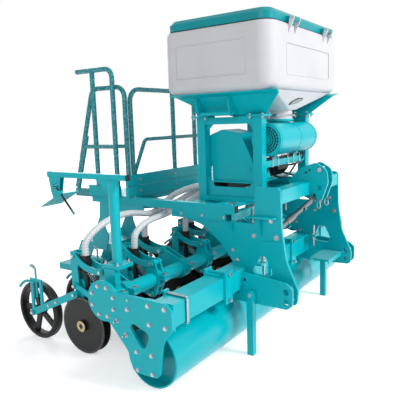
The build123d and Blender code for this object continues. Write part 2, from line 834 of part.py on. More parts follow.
def hopper_ears():
    """Pairs of ears on the front wall, with the pin that carries the lid."""
    pieces = []
    pin_y = HOPPER_FRONT - LID_PIN_OUT
    for x in LID_EARS:
        for dx in (-LID_EAR_HALF, LID_EAR_HALF):
            wall_y = HOPPER_FRONT + 2
            circles = [(pin_y, LID_PIN_Z, 14), (wall_y, LID_PIN_Z - 75, 4), (wall_y, HOPPER_TOP - 34, 4)]
            pieces.append(hull(circles, (x + dx - LID_EAR_T / 2, x + dx + LID_EAR_T / 2)))
        pieces.append(bar_x(LID_PIN_D, (x - LID_EAR_HALF, x + LID_EAR_HALF), pin_y, LID_PIN_Z))
    return pieces


def hopper():
    wall = HOPPER_WALL
    face = Pos(0, HOPPER_MIDDLE) * RectangleRounded(2 * HOPPER_HALF, HOPPER_LENGTH, HOPPER_CORNER)
    body = Pos(0, 0, HOPPER_FLOOR) * extrude(face, HOPPER_TOP - HOPPER_FLOOR)
    body = fillet(body.faces().sort_by(Axis.Z)[0].edges(), HOPPER_EDGE)
    body = fillet(body.faces().sort_by(Axis.Z)[-1].edges(), HOPPER_EDGE / 2)
    body += hopper_funnel(0)
    body += bar_z(OUTLET_D, 0, OUTLET_Y, (NECK_END, OUTLET_Z + 20))
    length = HOPPER_LENGTH - 2 * wall
    inner = Pos(0, HOPPER_MIDDLE) * RectangleRounded(2 * (HOPPER_HALF - wall), length, HOPPER_CORNER - wall)
    tall = HOPPER_TOP - HOPPER_FLOOR - HOPPER_EDGE - wall - HOPPER_EDGE / 2
    space = Pos(0, 0, HOPPER_FLOOR + HOPPER_EDGE) * extrude(inner, tall)
    round_in = HOPPER_CORNER - 30
    mouth = Pos(0, HOPPER_MIDDLE) * RectangleRounded(2 * HOPPER_HALF - 110, HOPPER_LENGTH - 110, round_in)
    space += Pos(0, 0, HOPPER_FLOOR + wall) * extrude(mouth, HOPPER_TOP - HOPPER_FLOOR)
    space += hopper_funnel(wall)
    space += bar_z(OUTLET_D - 2 * wall, 0, OUTLET_Y, (NECK_END, OUTLET_Z + 30))
    body -= space
    for ear in hopper_ears():
        body += ear
    for x in (-1, 1):
        deep = sorted((x * (HOPPER_HALF - PANEL_DEEP), x * (HOPPER_HALF + 9)))
        tall = (HOPPER_FLOOR + 85, HOPPER_TOP - 90)
        body -= box(deep, (HOPPER_REAR - 590, HOPPER_REAR - 110), tall)
    deep = (HOPPER_FRONT - 9, HOPPER_FRONT + PANEL_DEEP)
    body -= box((-HOPPER_HALF + 190, HOPPER_HALF - 190), deep, (HOPPER_FLOOR + 85, HOPPER_TOP - 110))
    return body.solids()


def hopper_lid():
    low = HOPPER_TOP + LID_GAP
    half = HOPPER_HALF - LID_INSET
    deep = HOPPER_LENGTH - 2 * LID_INSET
    face = Pos(0, HOPPER_MIDDLE) * RectangleRounded(2 * half, deep, HOPPER_CORNER - LID_INSET)
    lid = Pos(0, 0, low) * extrude(face, LID_H)
    lid = chamfer(lid.faces().sort_by(Axis.Z)[-1].edges(), LID_BEVEL)
    wall = LID_WALL
    corner = HOPPER_CORNER - LID_INSET - wall
    inner = Pos(0, HOPPER_MIDDLE) * RectangleRounded(2 * (half - wall), deep - 2 * wall, corner)
    hollow = Pos(0, 0, low - 1) * extrude(inner, LID_H + 1 - wall)
    hollow = chamfer(hollow.faces().sort_by(Axis.Z)[-1].edges(), LID_BEVEL)
    lid -= hollow
    pin_y = HOPPER_FRONT - LID_PIN_OUT
    wall_y = HOPPER_FRONT + LID_INSET
    for x in LID_EARS:
        wide = (x - LID_EAR_HALF + LID_EAR_T / 2 + RUN_GAP, x + LID_EAR_HALF - LID_EAR_T / 2 - RUN_GAP)
        lug = hull([(pin_y, LID_PIN_Z, 13), (wall_y + 3, LID_PIN_Z + 4, 10)], wide)
        lid += lug
        lid -= bar_x(LID_PIN_D + 2 * SHAFT_GAP, wide, pin_y, LID_PIN_Z)
    return lid.solids()


def funnel_z(x):
    """Height of the funnel's side wall at X."""
    low = OUTLET_D / 2 + 10
    high = HOPPER_HALF - 30
    share = (x - low) / (high - low)
    return OUTLET_Z + 10 + share * (HOPPER_FLOOR - OUTLET_Z - 10)


def hopper_cradle():
    """Folded side plates between the posts and the hopper's slanted floor."""
    t = CRADLE_T
    low_z = POST_TOP
    seat_in = HOPPER_HALF - 93
    seat_out = HOPPER_HALF - 37
    outer = [
        (POST_X - 40, low_z, 0),
        (POST_X + 10, low_z, 0),
        (seat_in + t, funnel_z(seat_in + t) - t, 0),
        (seat_out, funnel_z(seat_out) - t, 0),
        (seat_out, funnel_z(seat_out), 0),
        (seat_in, funnel_z(seat_in), 0),
        (POST_X + 3, low_z + t, 0),
        (POST_X - 40, low_z + t, 0),
    ]
    plate = slab_y(outline(outer), (HOPPER_FRONT - 20, HOPPER_REAR - 12))
    trim = [
        (HOPPER_FRONT - 20, HOPPER_FLOOR, 0),
        (HOPPER_REAR - 12, HOPPER_FLOOR, 0),
        (POST_REAR + 35, low_z + 68, 0),
        (POST_REAR + 35, low_z - 1, 0),
        (POST_FRONT - 45, low_z - 1, 0),
    ]
    plate = plate & slab_x(outline(trim), (0, HOPPER_HALF))
    for y in (CRADLE_EAR_FRONT, CRADLE_EAR_REAR):
        ear = [
            (POST_X + 12, low_z + 6, 0),
            (seat_in + 10, funnel_z(seat_in) - 6, 0),
            (seat_in + 30, low_z + 85, 14),
            (POST_X + 112, low_z + 4, 14),
            (POST_X + 70, low_z + 2, 0),
        ]
        plate += slab_y(outline(ear), (y - 4, y + 4))
    line = Pos(POST_X + 88, (CRADLE_EAR_FRONT + CRADLE_EAR_REAR) / 2, low_z + 12) * Rot(90, 0, 0)
    plate += line * Cylinder(13, CRADLE_EAR_REAR - CRADLE_EAR_FRONT + 30)
    leg = [(-135, low_z, 0), (10, low_z, 0), (-25, POST_BRACE_TOP, 0), (-115, POST_BRACE_TOP, 0)]
    plate += slab_x(outline(leg), (POST_X - 8, POST_X + 2))
    return both(plate)


# Seed metering and air

METER_BOX = [
    (170, 985, 10),
    (170, 1080, 10),
    (185, 1090, 10),
    (185, 1279, 20),
    (87, 1314, 30),
    (-43, 1288, 30),
    (-125, 1121, 20),
    (-154, 985, 10),
]


def metering_box():
    case = slab_x(outline(METER_BOX), (METER_X[0], METER_X[1]))
    latch = bar_x(24, (METER_X[0] - 6, METER_X[0]), -105, 1062)
    return [case + latch]


def fan_housing():
    half = FAN_HALF
    case = bar_x(FAN_D, (-half, half), FAN_Y, FAN_Z)
    tail = [
        (FAN_Y, FAN_Z - FAN_D / 2, 0),
        (FAN_Y + 105, FAN_Z - FAN_D / 2, 12),
        (FAN_Y + 105, FAN_Z - 20, 12),
        (FAN_Y + 70, FAN_Z + 10, 12),
        (FAN_Y, FAN_Z + FAN_D / 2 - 12, 0),
    ]
    case += slab_x(outline(tail), (METER_X[1] + 20, half))
    case -= bar_x(FAN_D - 30, (-half, -half + 12), FAN_Y, FAN_Z)
    case += bar_x(44, (-half, -half + 14), FAN_Y, FAN_Z)
    case += bar_z(OUTLET_D - 30, 0, OUTLET_Y, (FAN_Z + 40, NECK_END))
    case += bar_z(OUTLET_D + 16, 0, OUTLET_Y, (NECK_END - 12, NECK_END))
    low = POST_BAR_Z + POST_BAR / 2
    for x in (-150, 150):
        case += box((x - 25, x + 25), (POST_FRONT - 18, POST_FRONT + 18), (low, FAN_Z - FAN_D / 2 + 8))
    return case.solids()


def fan_motor():
    y = MOTOR_Y
    z = POST_BAR_Z - 45
    motor = bar_x(MOTOR_D, (MOTOR_X[0], MOTOR_X[1]), y, z)
    motor += bar_x(MOTOR_D * 0.8, (MOTOR_X[1], MOTOR_X[1] + 40), y, z)
    front = POST_FRONT + POST_BAR / 2
    motor += box((MOTOR_X[0] + 30, MOTOR_X[1] - 30), (front, y), (z - 12, z + 38))
    return [motor]


def manifold():
    wide = HOSE_PITCH * (ROW_COUNT - 1) / 2 + 40
    half = (SHELF_Z - MANIFOLD_Z)
    case = box((-wide, wide), (MANIFOLD_REAR - 110, MANIFOLD_REAR), (MANIFOLD_Z - half, SHELF_Z))
    low = case.edges().filter_by(Axis.X).sort_by(Axis.Z)[:2]
    case = fillet(low, 18)
    for index in range(ROW_COUNT):
        x = (index - (ROW_COUNT - 1) / 2) * HOSE_PITCH
        spout = Pos(x, MANIFOLD_REAR + SPOUT / 2, MANIFOLD_Z) * Rot(90, 0, 0)
        case += spout * Cylinder(HOSE_D / 2 - 3, SPOUT)
    return case.solids()


# Middle line of each near-side hose as rows of (X, Y, Z), by its place from the
# middle row. The far side is the mirror image.
HOSE_ROUTES = {
    4: [
        (-200, 330, 941), (-320, 505, 872), (-475, 525, 757), (-650, 588, 800),
        (-860, 560, 796), (-1000, 548, 758), (-1064, 573, 690),
    ],
    3: [(-150, 275, 941), (-165, 345, 872), (-430, 446, 762), (-640, 446, 758), (-790, 424, 712)],
    2: [(-100, 310, 941), (-230, 458, 850), (-400, 540, 742), (-526, 572, 716)],
    1: [(-50, 275, 941), (-58, 345, 872), (-258, 424, 738)],
    0: [(0, 330, 941), (0, 510, 865), (0, 573, 760)],
}


def seed_hoses():
    pieces = []
    middle = (ROW_COUNT - 1) // 2
    for index, (x, back) in enumerate(ROWS):
        side = -1 if index > middle else 1
        start_x = (index - middle) * HOSE_PITCH
        y = UP_PIVOT[0] + back + SEED_BACK
        points = [(start_x, MANIFOLD_REAR + SPOUT, MANIFOLD_Z)]
        points += [(side * px, py, pz) for px, py, pz in HOSE_ROUTES[abs(index - middle)]]
        points.append((x, y, SEED_TOP + 10))
        path, radii = round_path(points)
        hose = sweep(Plane(path @ 0, z_dir=path % 0) * Circle(HOSE_D / 2), path=path)
        hose += bar_z(HOSE_D, x, y, (SEED_TOP - 28, SEED_TOP + 10))
        print("hose", index + 1, [round(r) for r in radii])
        pieces.append(hose)
    return pieces


# Platform

def platform_deck():
    plate = box((-DECK_HALF, DECK_HALF), (DECK_FRONT, DECK_REAR), (RAIL_TOP, RAIL_TOP + DECK_T))
    return [plate]


def toe_boards():
    pieces = []
    for layer in range(2):
        low = RAIL_TOP + layer * (TOE_H + TOE_GAP)
        board = box((-TOE_HALF, TOE_HALF), (DECK_FRONT - TOE_T, DECK_FRONT), (low, low + TOE_H))
        pieces.append(board)
    z0 = RAIL_TOP + DECK_T
    bracket = box((-6, 6), (DECK_FRONT, DECK_FRONT + 14), (z0, RAIL_TOP + 2 * TOE_H + TOE_GAP))
    for x in (-400, 0, 400):
        pieces.append(Pos(x, 0, 0) * bracket)
    side = box((-DECK_HALF - TOE_T, -DECK_HALF), (DECK_FRONT + 66, DECK_REAR), (RAIL_TOP, RAIL_TOP + TOE_H))
    pieces += both(side)
    return pieces


def handrails():
    d = GUARD_D
    thin = GUARD_D * 0.8
    foot = RAIL_TOP + DECK_T
    y = DECK_FRONT + 14 + d / 2 + 4
    x = SIDE_RAIL_X
    rear = DECK_REAR
    side = [(-x, y, foot), (-x, y, GUARD_TOP), (-x, rear - 20, GUARD_TOP), (-x, rear + 200, foot + 40)]
    rails = pipe(d, side, 72)
    rails += box((-x - 8, -x + 8), (rear, rear + 216), (foot - 30, foot + 30))
    rails += bar_between(thin, (-x, rear + 62, 1290), (-x, rear + 190, foot + 20))
    top = GUARD_TOP - 15
    front = [(GUARD_X[0], y, foot), (GUARD_X[0], y, top), (GUARD_X[1], y, top), (GUARD_X[1], y, foot)]
    rails += pipe(d, front, 90)
    low = [(GUARD_X[0], y, GUARD_MID - 260), (GUARD_X[0] + 140, y, GUARD_MID), (GUARD_X[1], y, GUARD_MID)]
    rails += pipe(thin, low, 45)
    for post_x in GUARD_POSTS:
        rails += bar_z(d, post_x, y, (foot, top))
    rails += bar_x(thin, (-x, GUARD_X[0]), y, foot + 60)
    grab_x = -DECK_HALF - TOE_T / 2
    grab_y = DECK_FRONT + 85
    base = RAIL_TOP + TOE_H
    grab = [(grab_x, grab_y, base), (grab_x, grab_y, GRAB_TOP), (grab_x, rear + 60, GRAB_TOP)]
    rails += pipe(d, grab, 60)
    rails += bar_z(d, grab_x, rear - 90, (base, GRAB_TOP))
    z = GUARD_MID - 40
    hoop = [(grab_x, grab_y, z), (grab_x, rear + 20, z), (-x + 12, rear + 20, z), (-x + 12, y, z)]
    rails += pipe(thin, hoop, 24)
    return rails.solids()


def stringer(front, x):
    """Plate that hangs from the frame and carries the treads."""
    rows = [
        (front, 815, 0),
        (DECK_REAR - 60, 815, 10),
        (DECK_REAR - 50, 700, 60),
        (1128, 540, 10),
        (1128, 455, 10),
        (990, 455, 10),
        (960, 560, 60),
        (1000, 650, 60),
        (960, 715, 60),
        (800, 735, 80),
        (front + 20, 770, 30),
        (front, 775, 0),
    ]
    return slab_x(outline(rows), (x, x + STRINGER_T))


def tread(y, z):
    """Folded tread between the stringers."""
    low = z - STEP_LIP
    piece = box((STEP_X0, STEP_X1), y, (low, z))
    t = STEP_T
    return piece - box((STEP_X0 + t, STEP_X1 - t), (y[0] + t, y[1] - t), (low, z - t))


def steps():
    piece = tread(STEP_TOP_Y, STEP_TOP_Z) + tread(STEP_LOW_Y, STEP_LOW_Z)
    for x, front in ((STEP_X0 - STRINGER_T, NEAR_STRINGER_FRONT), (STEP_X1, FAR_STRINGER_FRONT)):
        piece += stringer(front, x)
        hang = [
            (STEP_TOP_Y[1] - 150, STEP_TOP_Z, 10),
            (STEP_TOP_Y[1] + 5, STEP_TOP_Z, 10),
            (STEP_LOW_Y[0] + 130, STEP_LOW_Z, 10),
            (STEP_LOW_Y[0] + 130, STEP_LOW_Z - STEP_LIP, 10),
            (STEP_LOW_Y[0] + 10, STEP_LOW_Z - STEP_LIP, 10),
        ]
        piece += slab_x(outline(hang), (x, x + STRINGER_T))
    # Bearer between the two stringers, under the rail
    top = RAIL_TOP - RAIL
    piece += box((STEP_X0 - STRINGER_T, STEP_X1 + STRINGER_T), (700, 740), (top - 40, top))
    return piece.solids()


def front_step():
    x1 = TOWER_X - TOWER_T / 2
    tread = box((x1 - 265, x1), (STEP_FRONT, STEP_FRONT + STEP_DEEP), (FRONT_STEP_Z - 6, FRONT_STEP_Z))
    for y in (STEP_FRONT, STEP_FRONT + STEP_DEEP - 5):
        tread += box((x1 - 265, x1), (y, y + 5), (FRONT_STEP_Z - 30, FRONT_STEP_Z))
    return [tread]


# Stands

def stand():
    x0 = LINK_X + LINK_T / 2 + RUN_GAP
    x = (x0, x0 + STAND_T)
    leg = box(x, (STAND_Y - STAND_W / 2, STAND_Y + STAND_W / 2), (0, STAND_PIN_Z))
    leg += bar_x(STAND_W, x, STAND_Y, STAND_PIN_Z)
    leg += bar_x(STAND_PIN_D, (LINK_X - LINK_T / 2 - 8, x0), STAND_Y, STAND_PIN_Z)
    return leg


def stand_near():
    return [mirror(stand(), Plane.YZ)]


def stand_far():
    return [stand()]


# Post and arm

def marker_post():
    x = MARK_X
    ring = TUBE_D / 2 + 16
    post = bar_z(MARK_D, x, TUBE_Y, (MARK_FOOT, MARK_TOP))
    post += box((x - 60, x + 60), (TUBE_Y - 60, TUBE_Y + 60), (MARK_FOOT - 12, MARK_FOOT + 8))
    clamp_x = (x - 66, x - 26)
    clamp = bar_x(2 * ring, clamp_x, TUBE_Y, TUBE_Z)
    clamp += box(clamp_x, (TUBE_Y - 40, TUBE_Y + 40), (TUBE_Z, MARK_FOOT - 12))
    clamp += box(clamp_x, (TUBE_Y - ring - 34, TUBE_Y), (TUBE_Z + 8, TUBE_Z + 22))
    clamp += box(clamp_x, (TUBE_Y - ring - 34, TUBE_Y), (TUBE_Z + 26, TUBE_Z + 40))
    clamp -= bar_x(TUBE_D + 2 * FIT, clamp_x, TUBE_Y, TUBE_Z)
    post += clamp
    half = MARK_ARM / 2
    y0, y1 = MARK_ARM_Y
    post += box((x - half, x + half), (y0, y1), (MARK_TOP, MARK_TOP + MARK_ARM))
    gusset = [(TUBE_Y, MARK_TOP, 0), (TUBE_Y + 130, MARK_TOP, 0), (TUBE_Y, MARK_TOP - 100, 0)]
    post += slab_x(outline(gusset), (x - 4, x + 4))
    hanger = [
        (y1 - 110, MARK_TOP, 0),
        (y1 - 5, MARK_TOP, 0),
        (y1 - 20, 990, 10),
        (y1 - 45, 925, 10),
        (y1 - 80, 945, 10),
    ]
    for dx in (-half, half - 5):
        post += slab_x(outline(hanger), (x + dx, x + dx + 5))
    tray = [(y1 - 160, 990, 0), (y1 + 5, 908, 0), (y1 + 5, 902, 0), (y1 - 160, 984, 0)]
    post += slab_x(outline(tray), (x - 75, x + 75))
    lever_x = x - 60
    post += bar_between(12, (lever_x, y1 - 262, 880), (lever_x, y1 - 119, MARK_TOP - 47))
    post += Pos(lever_x, y1 - 115, MARK_TOP - 43) * Sphere(17)
    post += box((lever_x - 8, lever_x + 8), (y1 - 165, y1 - 135), (972, 1006))
    return post.solids()


PARTS = {
    "packer_roller": packer_roller,
    "roller_bearings": roller_bearings,
    "end_plates": end_plates,
    "front_beam": front_beam,
    "row_beam": row_beam,
    "tower_plates": tower_plates,
    "link_plates": link_plates,
    "top_hitch": top_hitch,
    "adjuster_strut": adjuster_strut,
    "beam_clamps": beam_clamps,
    "unit_clamps": unit_clamps,
    "upper_arms": upper_arms,
    "lower_arms": lower_arms,
    "unit_bodies": unit_bodies,
    "seed_tubes": seed_tubes,
    "seed_hoses": seed_hoses,
    "wheel_arms": wheel_arms,
    "sub_frame": sub_frame,
    "hopper_frame": hopper_frame,
    "hopper_cradle": hopper_cradle,
    "hopper": hopper,
    "hopper_lid": hopper_lid,
    "metering_box": metering_box,
    "fan_housing": fan_housing,
    "fan_motor": fan_motor,
    "manifold": manifold,
    "platform_deck": platform_deck,
    "toe_boards": toe_boards,
    "handrails": handrails,
    "steps": steps,
    "front_step": front_step,
    "stand_near": stand_near,
    "stand_far": stand_far,
    "marker_post": marker_post,
}

nodes = {name: make() for name, make in PARTS.items()}
for number, (row_x, row_set) in enumerate(ROWS, 1):
    nodes[f"disc_pair_{number}"] = disc_pair(row_x, row_set)
    nodes[f"press_wheel_{number}"] = press_wheel(row_x, row_set)

whole = Compound(children=[piece for pieces in nodes.values() for piece in pieces])
size = whole.bounding_box()
SHIFT_Y = -(size.min.Y + size.max.Y) / 2
os.makedirs("parts", exist_ok=True)
for name, pieces in nodes.items():
    shape = Pos(0, SHIFT_Y, 0) * Compound(children=list(pieces))
    export_step(shape, f"parts/{name}.step")
print("size", size.size, "moved in Y by", round(SHIFT_Y, 3))
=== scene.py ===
"""Looks of a mounted seed drill with a front packer roller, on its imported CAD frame.

All places are in millimetres from the roller's axis: X across, +Y to the rear, Z up.
"""
import bpy
import bmesh
import math
from mathutils import Matrix, Vector
from bpy.props import FloatProperty, FloatVectorProperty, IntProperty, PointerProperty


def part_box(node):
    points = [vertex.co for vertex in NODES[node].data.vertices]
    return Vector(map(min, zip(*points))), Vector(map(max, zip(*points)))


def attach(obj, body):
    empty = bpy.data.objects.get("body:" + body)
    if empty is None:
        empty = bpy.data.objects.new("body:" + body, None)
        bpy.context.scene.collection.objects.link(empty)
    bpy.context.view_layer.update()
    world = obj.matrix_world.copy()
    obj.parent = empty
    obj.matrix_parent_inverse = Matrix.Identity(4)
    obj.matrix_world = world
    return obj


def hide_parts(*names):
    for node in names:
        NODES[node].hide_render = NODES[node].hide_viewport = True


bl_info = {
    "name": "Seed drill looks",
    "version": (1, 0, 0),
    "blender": (4, 5, 0),
    "location": "View3D > Sidebar > Seed drill",
    "description": "Builds the finishes, fasteners, hoses and stage of a seed drill with a packer roller",
    "category": "Object",
}

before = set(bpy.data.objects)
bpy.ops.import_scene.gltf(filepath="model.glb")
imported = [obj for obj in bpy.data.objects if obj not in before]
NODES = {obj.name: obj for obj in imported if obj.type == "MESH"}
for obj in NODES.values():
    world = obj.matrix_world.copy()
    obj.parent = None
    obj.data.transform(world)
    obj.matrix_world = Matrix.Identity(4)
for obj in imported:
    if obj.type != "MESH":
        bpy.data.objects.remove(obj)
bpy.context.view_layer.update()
MM = 0.001
ROLLER_LOW, ROLLER_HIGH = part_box("packer_roller")
ROLLER_Y = (ROLLER_LOW[1] + ROLLER_HIGH[1]) / 2

SIDES = (-1, 1)
ACROSS = (1, 0, 0)
FRONT, REAR = (0, -1, 0), (0, 1, 0)
UP, DOWN = (0, 0, 1), (0, 0, -1)

# Row units: place across and set-back of each, by its rank
ROW_COUNT = 9
ROW_MIDDLE = 4
ROW_PITCH = 266.0
RANK_GAP = 145.0
ROWS = [
    ((index - ROW_MIDDLE) * ROW_PITCH, RANK_GAP if index % 2 == 0 else 0.0)
    for index in range(ROW_COUNT)
]

# Places in a row unit of the front rank, (y, z)
UPPER_PIN = (270, 542)
LOWER_PIN = (278, 357)
ARM_REACH = (219, 68)
ARM_PIN_X = 48
WHEEL_PIVOT = (482, 380)
WHEEL_AXLE = (890, 190)
DISC_AXLE = (461, 180)
SLEEVE_Y = 428

# Places on the frame
END_FACE = 1233
TOWER_OUT = 485
TOWER_IN = 465
BEAM_Y = (-187, -67)
BEAM_Z = (383, 503)
BEAM_MIDDLE = 443
CLAMP_FRONT, CLAMP_REAR = -207, -47
CLAMP_XS = (165, 720)
BENT_BOLT_X = 1112
TUBE_Y, TUBE_Z = 276, 441
RAIL_X = 475
RAIL_TOP = 865
POST_X = 331
TOP_PLATE_X = 60
MARKER_X = -1104
LEVER_X = -1164
ROLLER_Z = 162
SPOUT_Z = 941
FAN_Y, FAN_Z = -220, 1245
OUTLET_Y, OUTLET_Z = -165, 1384


def at(x, y, z):
    """Point in the row frame, in metres, from millimetres about the roller's axis."""
    return Vector((x * MM, ROLLER_Y + y * MM, z * MM))


def circle(count, radius, start=0.0):
    """Points on a circle, from an angle in degrees."""
    angles = [math.radians(start + 360 / count * k) for k in range(count)]
    return [(radius * math.cos(angle), radius * math.sin(angle)) for angle in angles]


def square(half):
    """Corners of a square round its middle."""
    return [(dx, dy) for dx in (-half, half) for dy in (-half, half)]


# Properties

def colour(name, description, default):
    return FloatVectorProperty(
        name=name, description=description, default=default, subtype="COLOR", size=3, min=0.0, max=1.0
    )


def length(name, description, default):
    return FloatProperty(name=name, description=description, default=default * MM, min=0.0, unit="LENGTH")


class SeederPaint(bpy.types.PropertyGroup):
    """Colours of the machine's finishes"""
    frame_paint: colour("Frame paint", "Gloss paint of the frame and the roller", (0.0, 0.49, 0.56))
    lid_tone: colour("Lid", "Moulded lid of the hopper", (0.0, 0.31, 0.35))
    hopper_tone: colour("Hopper", "Moulded plastic of the hopper", (0.68, 0.68, 0.715))
    hose_tone: colour("Hoses", "Ribbed plastic of the seed hoses", (0.72, 0.73, 0.76))
    black_tone: colour("Black steel", "Discs, wheels and sleeves", (0.012, 0.012, 0.013))
    zinc_tone: colour("Zinc", "Plated bolts, nuts and pins", (0.46, 0.48, 0.50))


class SeederSizes(bpy.types.PropertyGroup):
    """Sizes of the fasteners and hoses"""
    flange_bolt: length("Flange bolt", "Thread diameter of the bolts at the round beam's ends", 12.0)
    pin_nut: length("Pin nut", "Thread diameter of the nuts on the arm pins", 14.0)
    hose_diameter: length("Hose", "Outside diameter of a seed hose", 42.0)
    hose_pitch: length("Hose rib pitch", "Distance between two ribs of a hose", 17.0)
    grip_scale: FloatProperty(
        name="Grip pattern", description="Bars of the tread pattern in one metre", default=32.0, min=1.0
    )
    hose_sides: IntProperty(name="Hose sides", description="Faces round a hose", default=14, min=6)


def paint():
    return bpy.context.scene.seeder_paint


def sizes():
    return bpy.context.scene.seeder_sizes


# Mesh helpers

# Shares of a bolt's thread diameter
HEAD_RADIUS, HEAD_HEIGHT, HEAD_EDGE = 0.80, 0.64, 0.1
WASHER_RADIUS, WASHER_HEIGHT = 0.98, 0.14
SHANK_RADIUS, SHANK_TIP = 0.42, 0.3
HEAD_TOP = 0.84        # share of the head's own radius
HEAD_TURN = 0.4

AXIS_RADIUS = 0.05     # least radius of a turned shape
BEAD_RADIUS = 3.2


class Maker:
    """Collects a piece's faces, in the row frame and in metres."""

    def __init__(self):
        self.mesh = bmesh.new()

    def rings(self, rows, caps=True, loop=False):
        """Skin over rows of points; loop joins the last row to the first."""
        made = [[self.mesh.verts.new(point) for point in row] for row in rows]
        count = len(made[0])
        pairs = list(zip(made, made[1:])) + ([(made[-1], made[0])] if loop else [])
        for low, high in pairs:
            for k in range(count):
                after = (k + 1) % count
                self.mesh.faces.new((low[k], low[after], high[after], high[k]))
        if caps and not loop:
            self.mesh.faces.new(tuple(reversed(made[0])))
            self.mesh.faces.new(tuple(made[-1]))

    def lathe(self, centre, axis, profile, sides=16, turn=0.0, loop=False):
        """Turned shape from rows of (distance along the axis, radius), in millimetres."""
        axis = Vector(axis).normalized()
        side = axis.orthogonal().normalized()
        up = axis.cross(side)
        rows = []
        for along, radius in profile:
            row = []
            for k in range(sides):
                angle = turn + 2 * math.pi * k / sides
                arm = side * math.cos(angle) + up * math.sin(angle)
                row.append(centre + axis * along * MM + arm * max(radius, AXIS_RADIUS) * MM)
            rows.append(row)
        self.rings(rows, loop=loop)

    def band(self, centre, axis, radii, ends, sides):
        """Ring of square section between two radii and two places along the axis."""
        inner, outer = radii
        low, high = ends
        profile = [(low, inner), (low, outer), (high, outer), (high, inner)]
        self.lathe(centre, axis, profile, sides, loop=True)

    def block(self, low, high, bevel=0.0):
        """Box between two points, in millimetres, with its upright edges cut by bevel."""
        x0, y0, z0 = low
        x1, y1, z1 = high
        b = bevel
        if b:
            outline = [
                (x0 + b, y0), (x1 - b, y0), (x1, y0 + b), (x1, y1 - b),
                (x1 - b, y1), (x0 + b, y1), (x0, y1 - b), (x0, y0 + b),
            ]
        else:
            outline = [(x0, y0), (x1, y0), (x1, y1), (x0, y1)]
        self.rings([[at(x, y, z) for x, y in outline] for z in (z0, z1)])

    def plate(self, points, normal, thickness):
        """Flat plate from points in millimetres, thickened along normal."""
        lift = Vector(normal).normalized() * thickness * MM
        low = [at(*p) for p in points]
        self.rings([low, [p + lift for p in low]])

    def bolt(self, centre, axis, size, washer=True, shank=0.0):
        """Hexagon head on a washer; size is the thread diameter in millimetres."""
        base = 0.0
        if washer:
            base = size * WASHER_HEIGHT
            radius = size * WASHER_RADIUS
            self.lathe(centre, axis, [(0.0, radius), (base, radius)], 18)
        radius = size * HEAD_RADIUS
        top = base + size * HEAD_HEIGHT
        head = [(base, radius), (top - size * HEAD_EDGE, radius), (top, radius * HEAD_TOP)]
        self.lathe(centre, axis, head, 6, turn=HEAD_TURN)
        if shank:
            radius = size * SHANK_RADIUS
            end = top + shank
            self.lathe(centre, axis, [(top, radius), (end, radius), (end + 1.5, size * SHANK_TIP)], 10)

    def tube(self, points, radius, sides=10):
        """Round bar along points in metres; radius in millimetres or a list of them."""
        radii = radius if isinstance(radius, list) else [radius] * len(points)
        rows = []
        ahead = (points[1] - points[0]).normalized()
        side = ahead.orthogonal().normalized()
        for k, point in enumerate(points):
            before = points[max(k - 1, 0)]
            after = points[min(k + 1, len(points) - 1)]
            way = (after - before).normalized()
            side = (side - way * side.dot(way)).normalized()
            up = way.cross(side)
            row = []
            for n in range(sides):
                angle = 2 * math.pi * n / sides
                row.append(point + (side * math.cos(angle) + up * math.sin(angle)) * radii[k] * MM)
            rows.append(row)
        self.rings(rows)

    def bars(self, corners, radius, sides):
        """Straight round bars along a closed line of points in millimetres."""
        for a, b in zip(corners, corners[1:] + corners[:1]):
            self.tube([at(*a), at(*b)], radius, sides)

    def frame_line(self, face, wide, tall, corner, axis):
        """Low round bead along a rectangle with round corners, on a face across axis."""
        line = []
        for quarter, (right, high) in enumerate(((1, 1), (0, 1), (0, 0), (1, 0))):
            middle = wide[right] + (-corner if right else corner)
            level = tall[high] + (-corner if high else corner)
            for k in range(7):
                angle = math.radians(90 * quarter + 15 * k)
                flat, up = middle + corner * math.cos(angle), level + corner * math.sin(angle)
                line.append(at(face, flat, up) if axis == "X" else at(flat, face, up))
        self.tube(line + line[:2], BEAD_RADIUS, 8)

    def piece(self, name, material, body="frame", smooth=35.0):
        """Turns the faces into an object; smooth is the sharp edges' least angle."""
        mesh = bpy.data.meshes.new(name)
        bmesh.ops.recalc_face_normals(self.mesh, faces=self.mesh.faces)
        self.mesh.to_mesh(mesh)
        self.mesh.free()
        mesh.polygons.foreach_set("use_smooth", [True] * len(mesh.polygons))
        mesh.set_sharp_from_angle(angle=math.radians(smooth))
        mesh.materials.append(finish(material))
        obj = bpy.data.objects.new(name, mesh)
        bpy.context.scene.collection.objects.link(obj)
        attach(obj, body)
        return obj


def spline_points(points, step):
    """Points along the smooth line through a route, spaced by step in metres."""
    curve = bpy.data.curves.new("route_line", "CURVE")
    curve.dimensions = "3D"
    spline = curve.splines.new("NURBS")
    spline.points.add(len(points) - 1)
    for knot, point in zip(spline.points, points):
        knot.co = (*point, 1.0)
    spline.order_u = 3
    spline.use_endpoint_u = True
    spline.resolution_u = 12
    line = bpy.data.objects.new("route_line", curve)
    mesh = bpy.data.meshes.new_from_object(line)
    raw = [vertex.co.copy() for vertex in mesh.vertices]
    bpy.data.objects.remove(line)
    bpy.data.curves.remove(curve)
    bpy.data.meshes.remove(mesh)
    total = sum((b - a).length for a, b in zip(raw, raw[1:]))
    count = max(2, round(total / step))
    found = []
    run = 0.0
    k = 0
    for goal in [total * n / count for n in range(count + 1)]:
        while k < len(raw) - 2 and run + (raw[k + 1] - raw[k]).length < goal:
            run += (raw[k + 1] - raw[k]).length
            k += 1
        part = (raw[k + 1] - raw[k]).length
        share = min(1.0, (goal - run) / part) if part else 0.0
        found.append(raw[k].lerp(raw[k + 1], share))
    return found


# Finishes

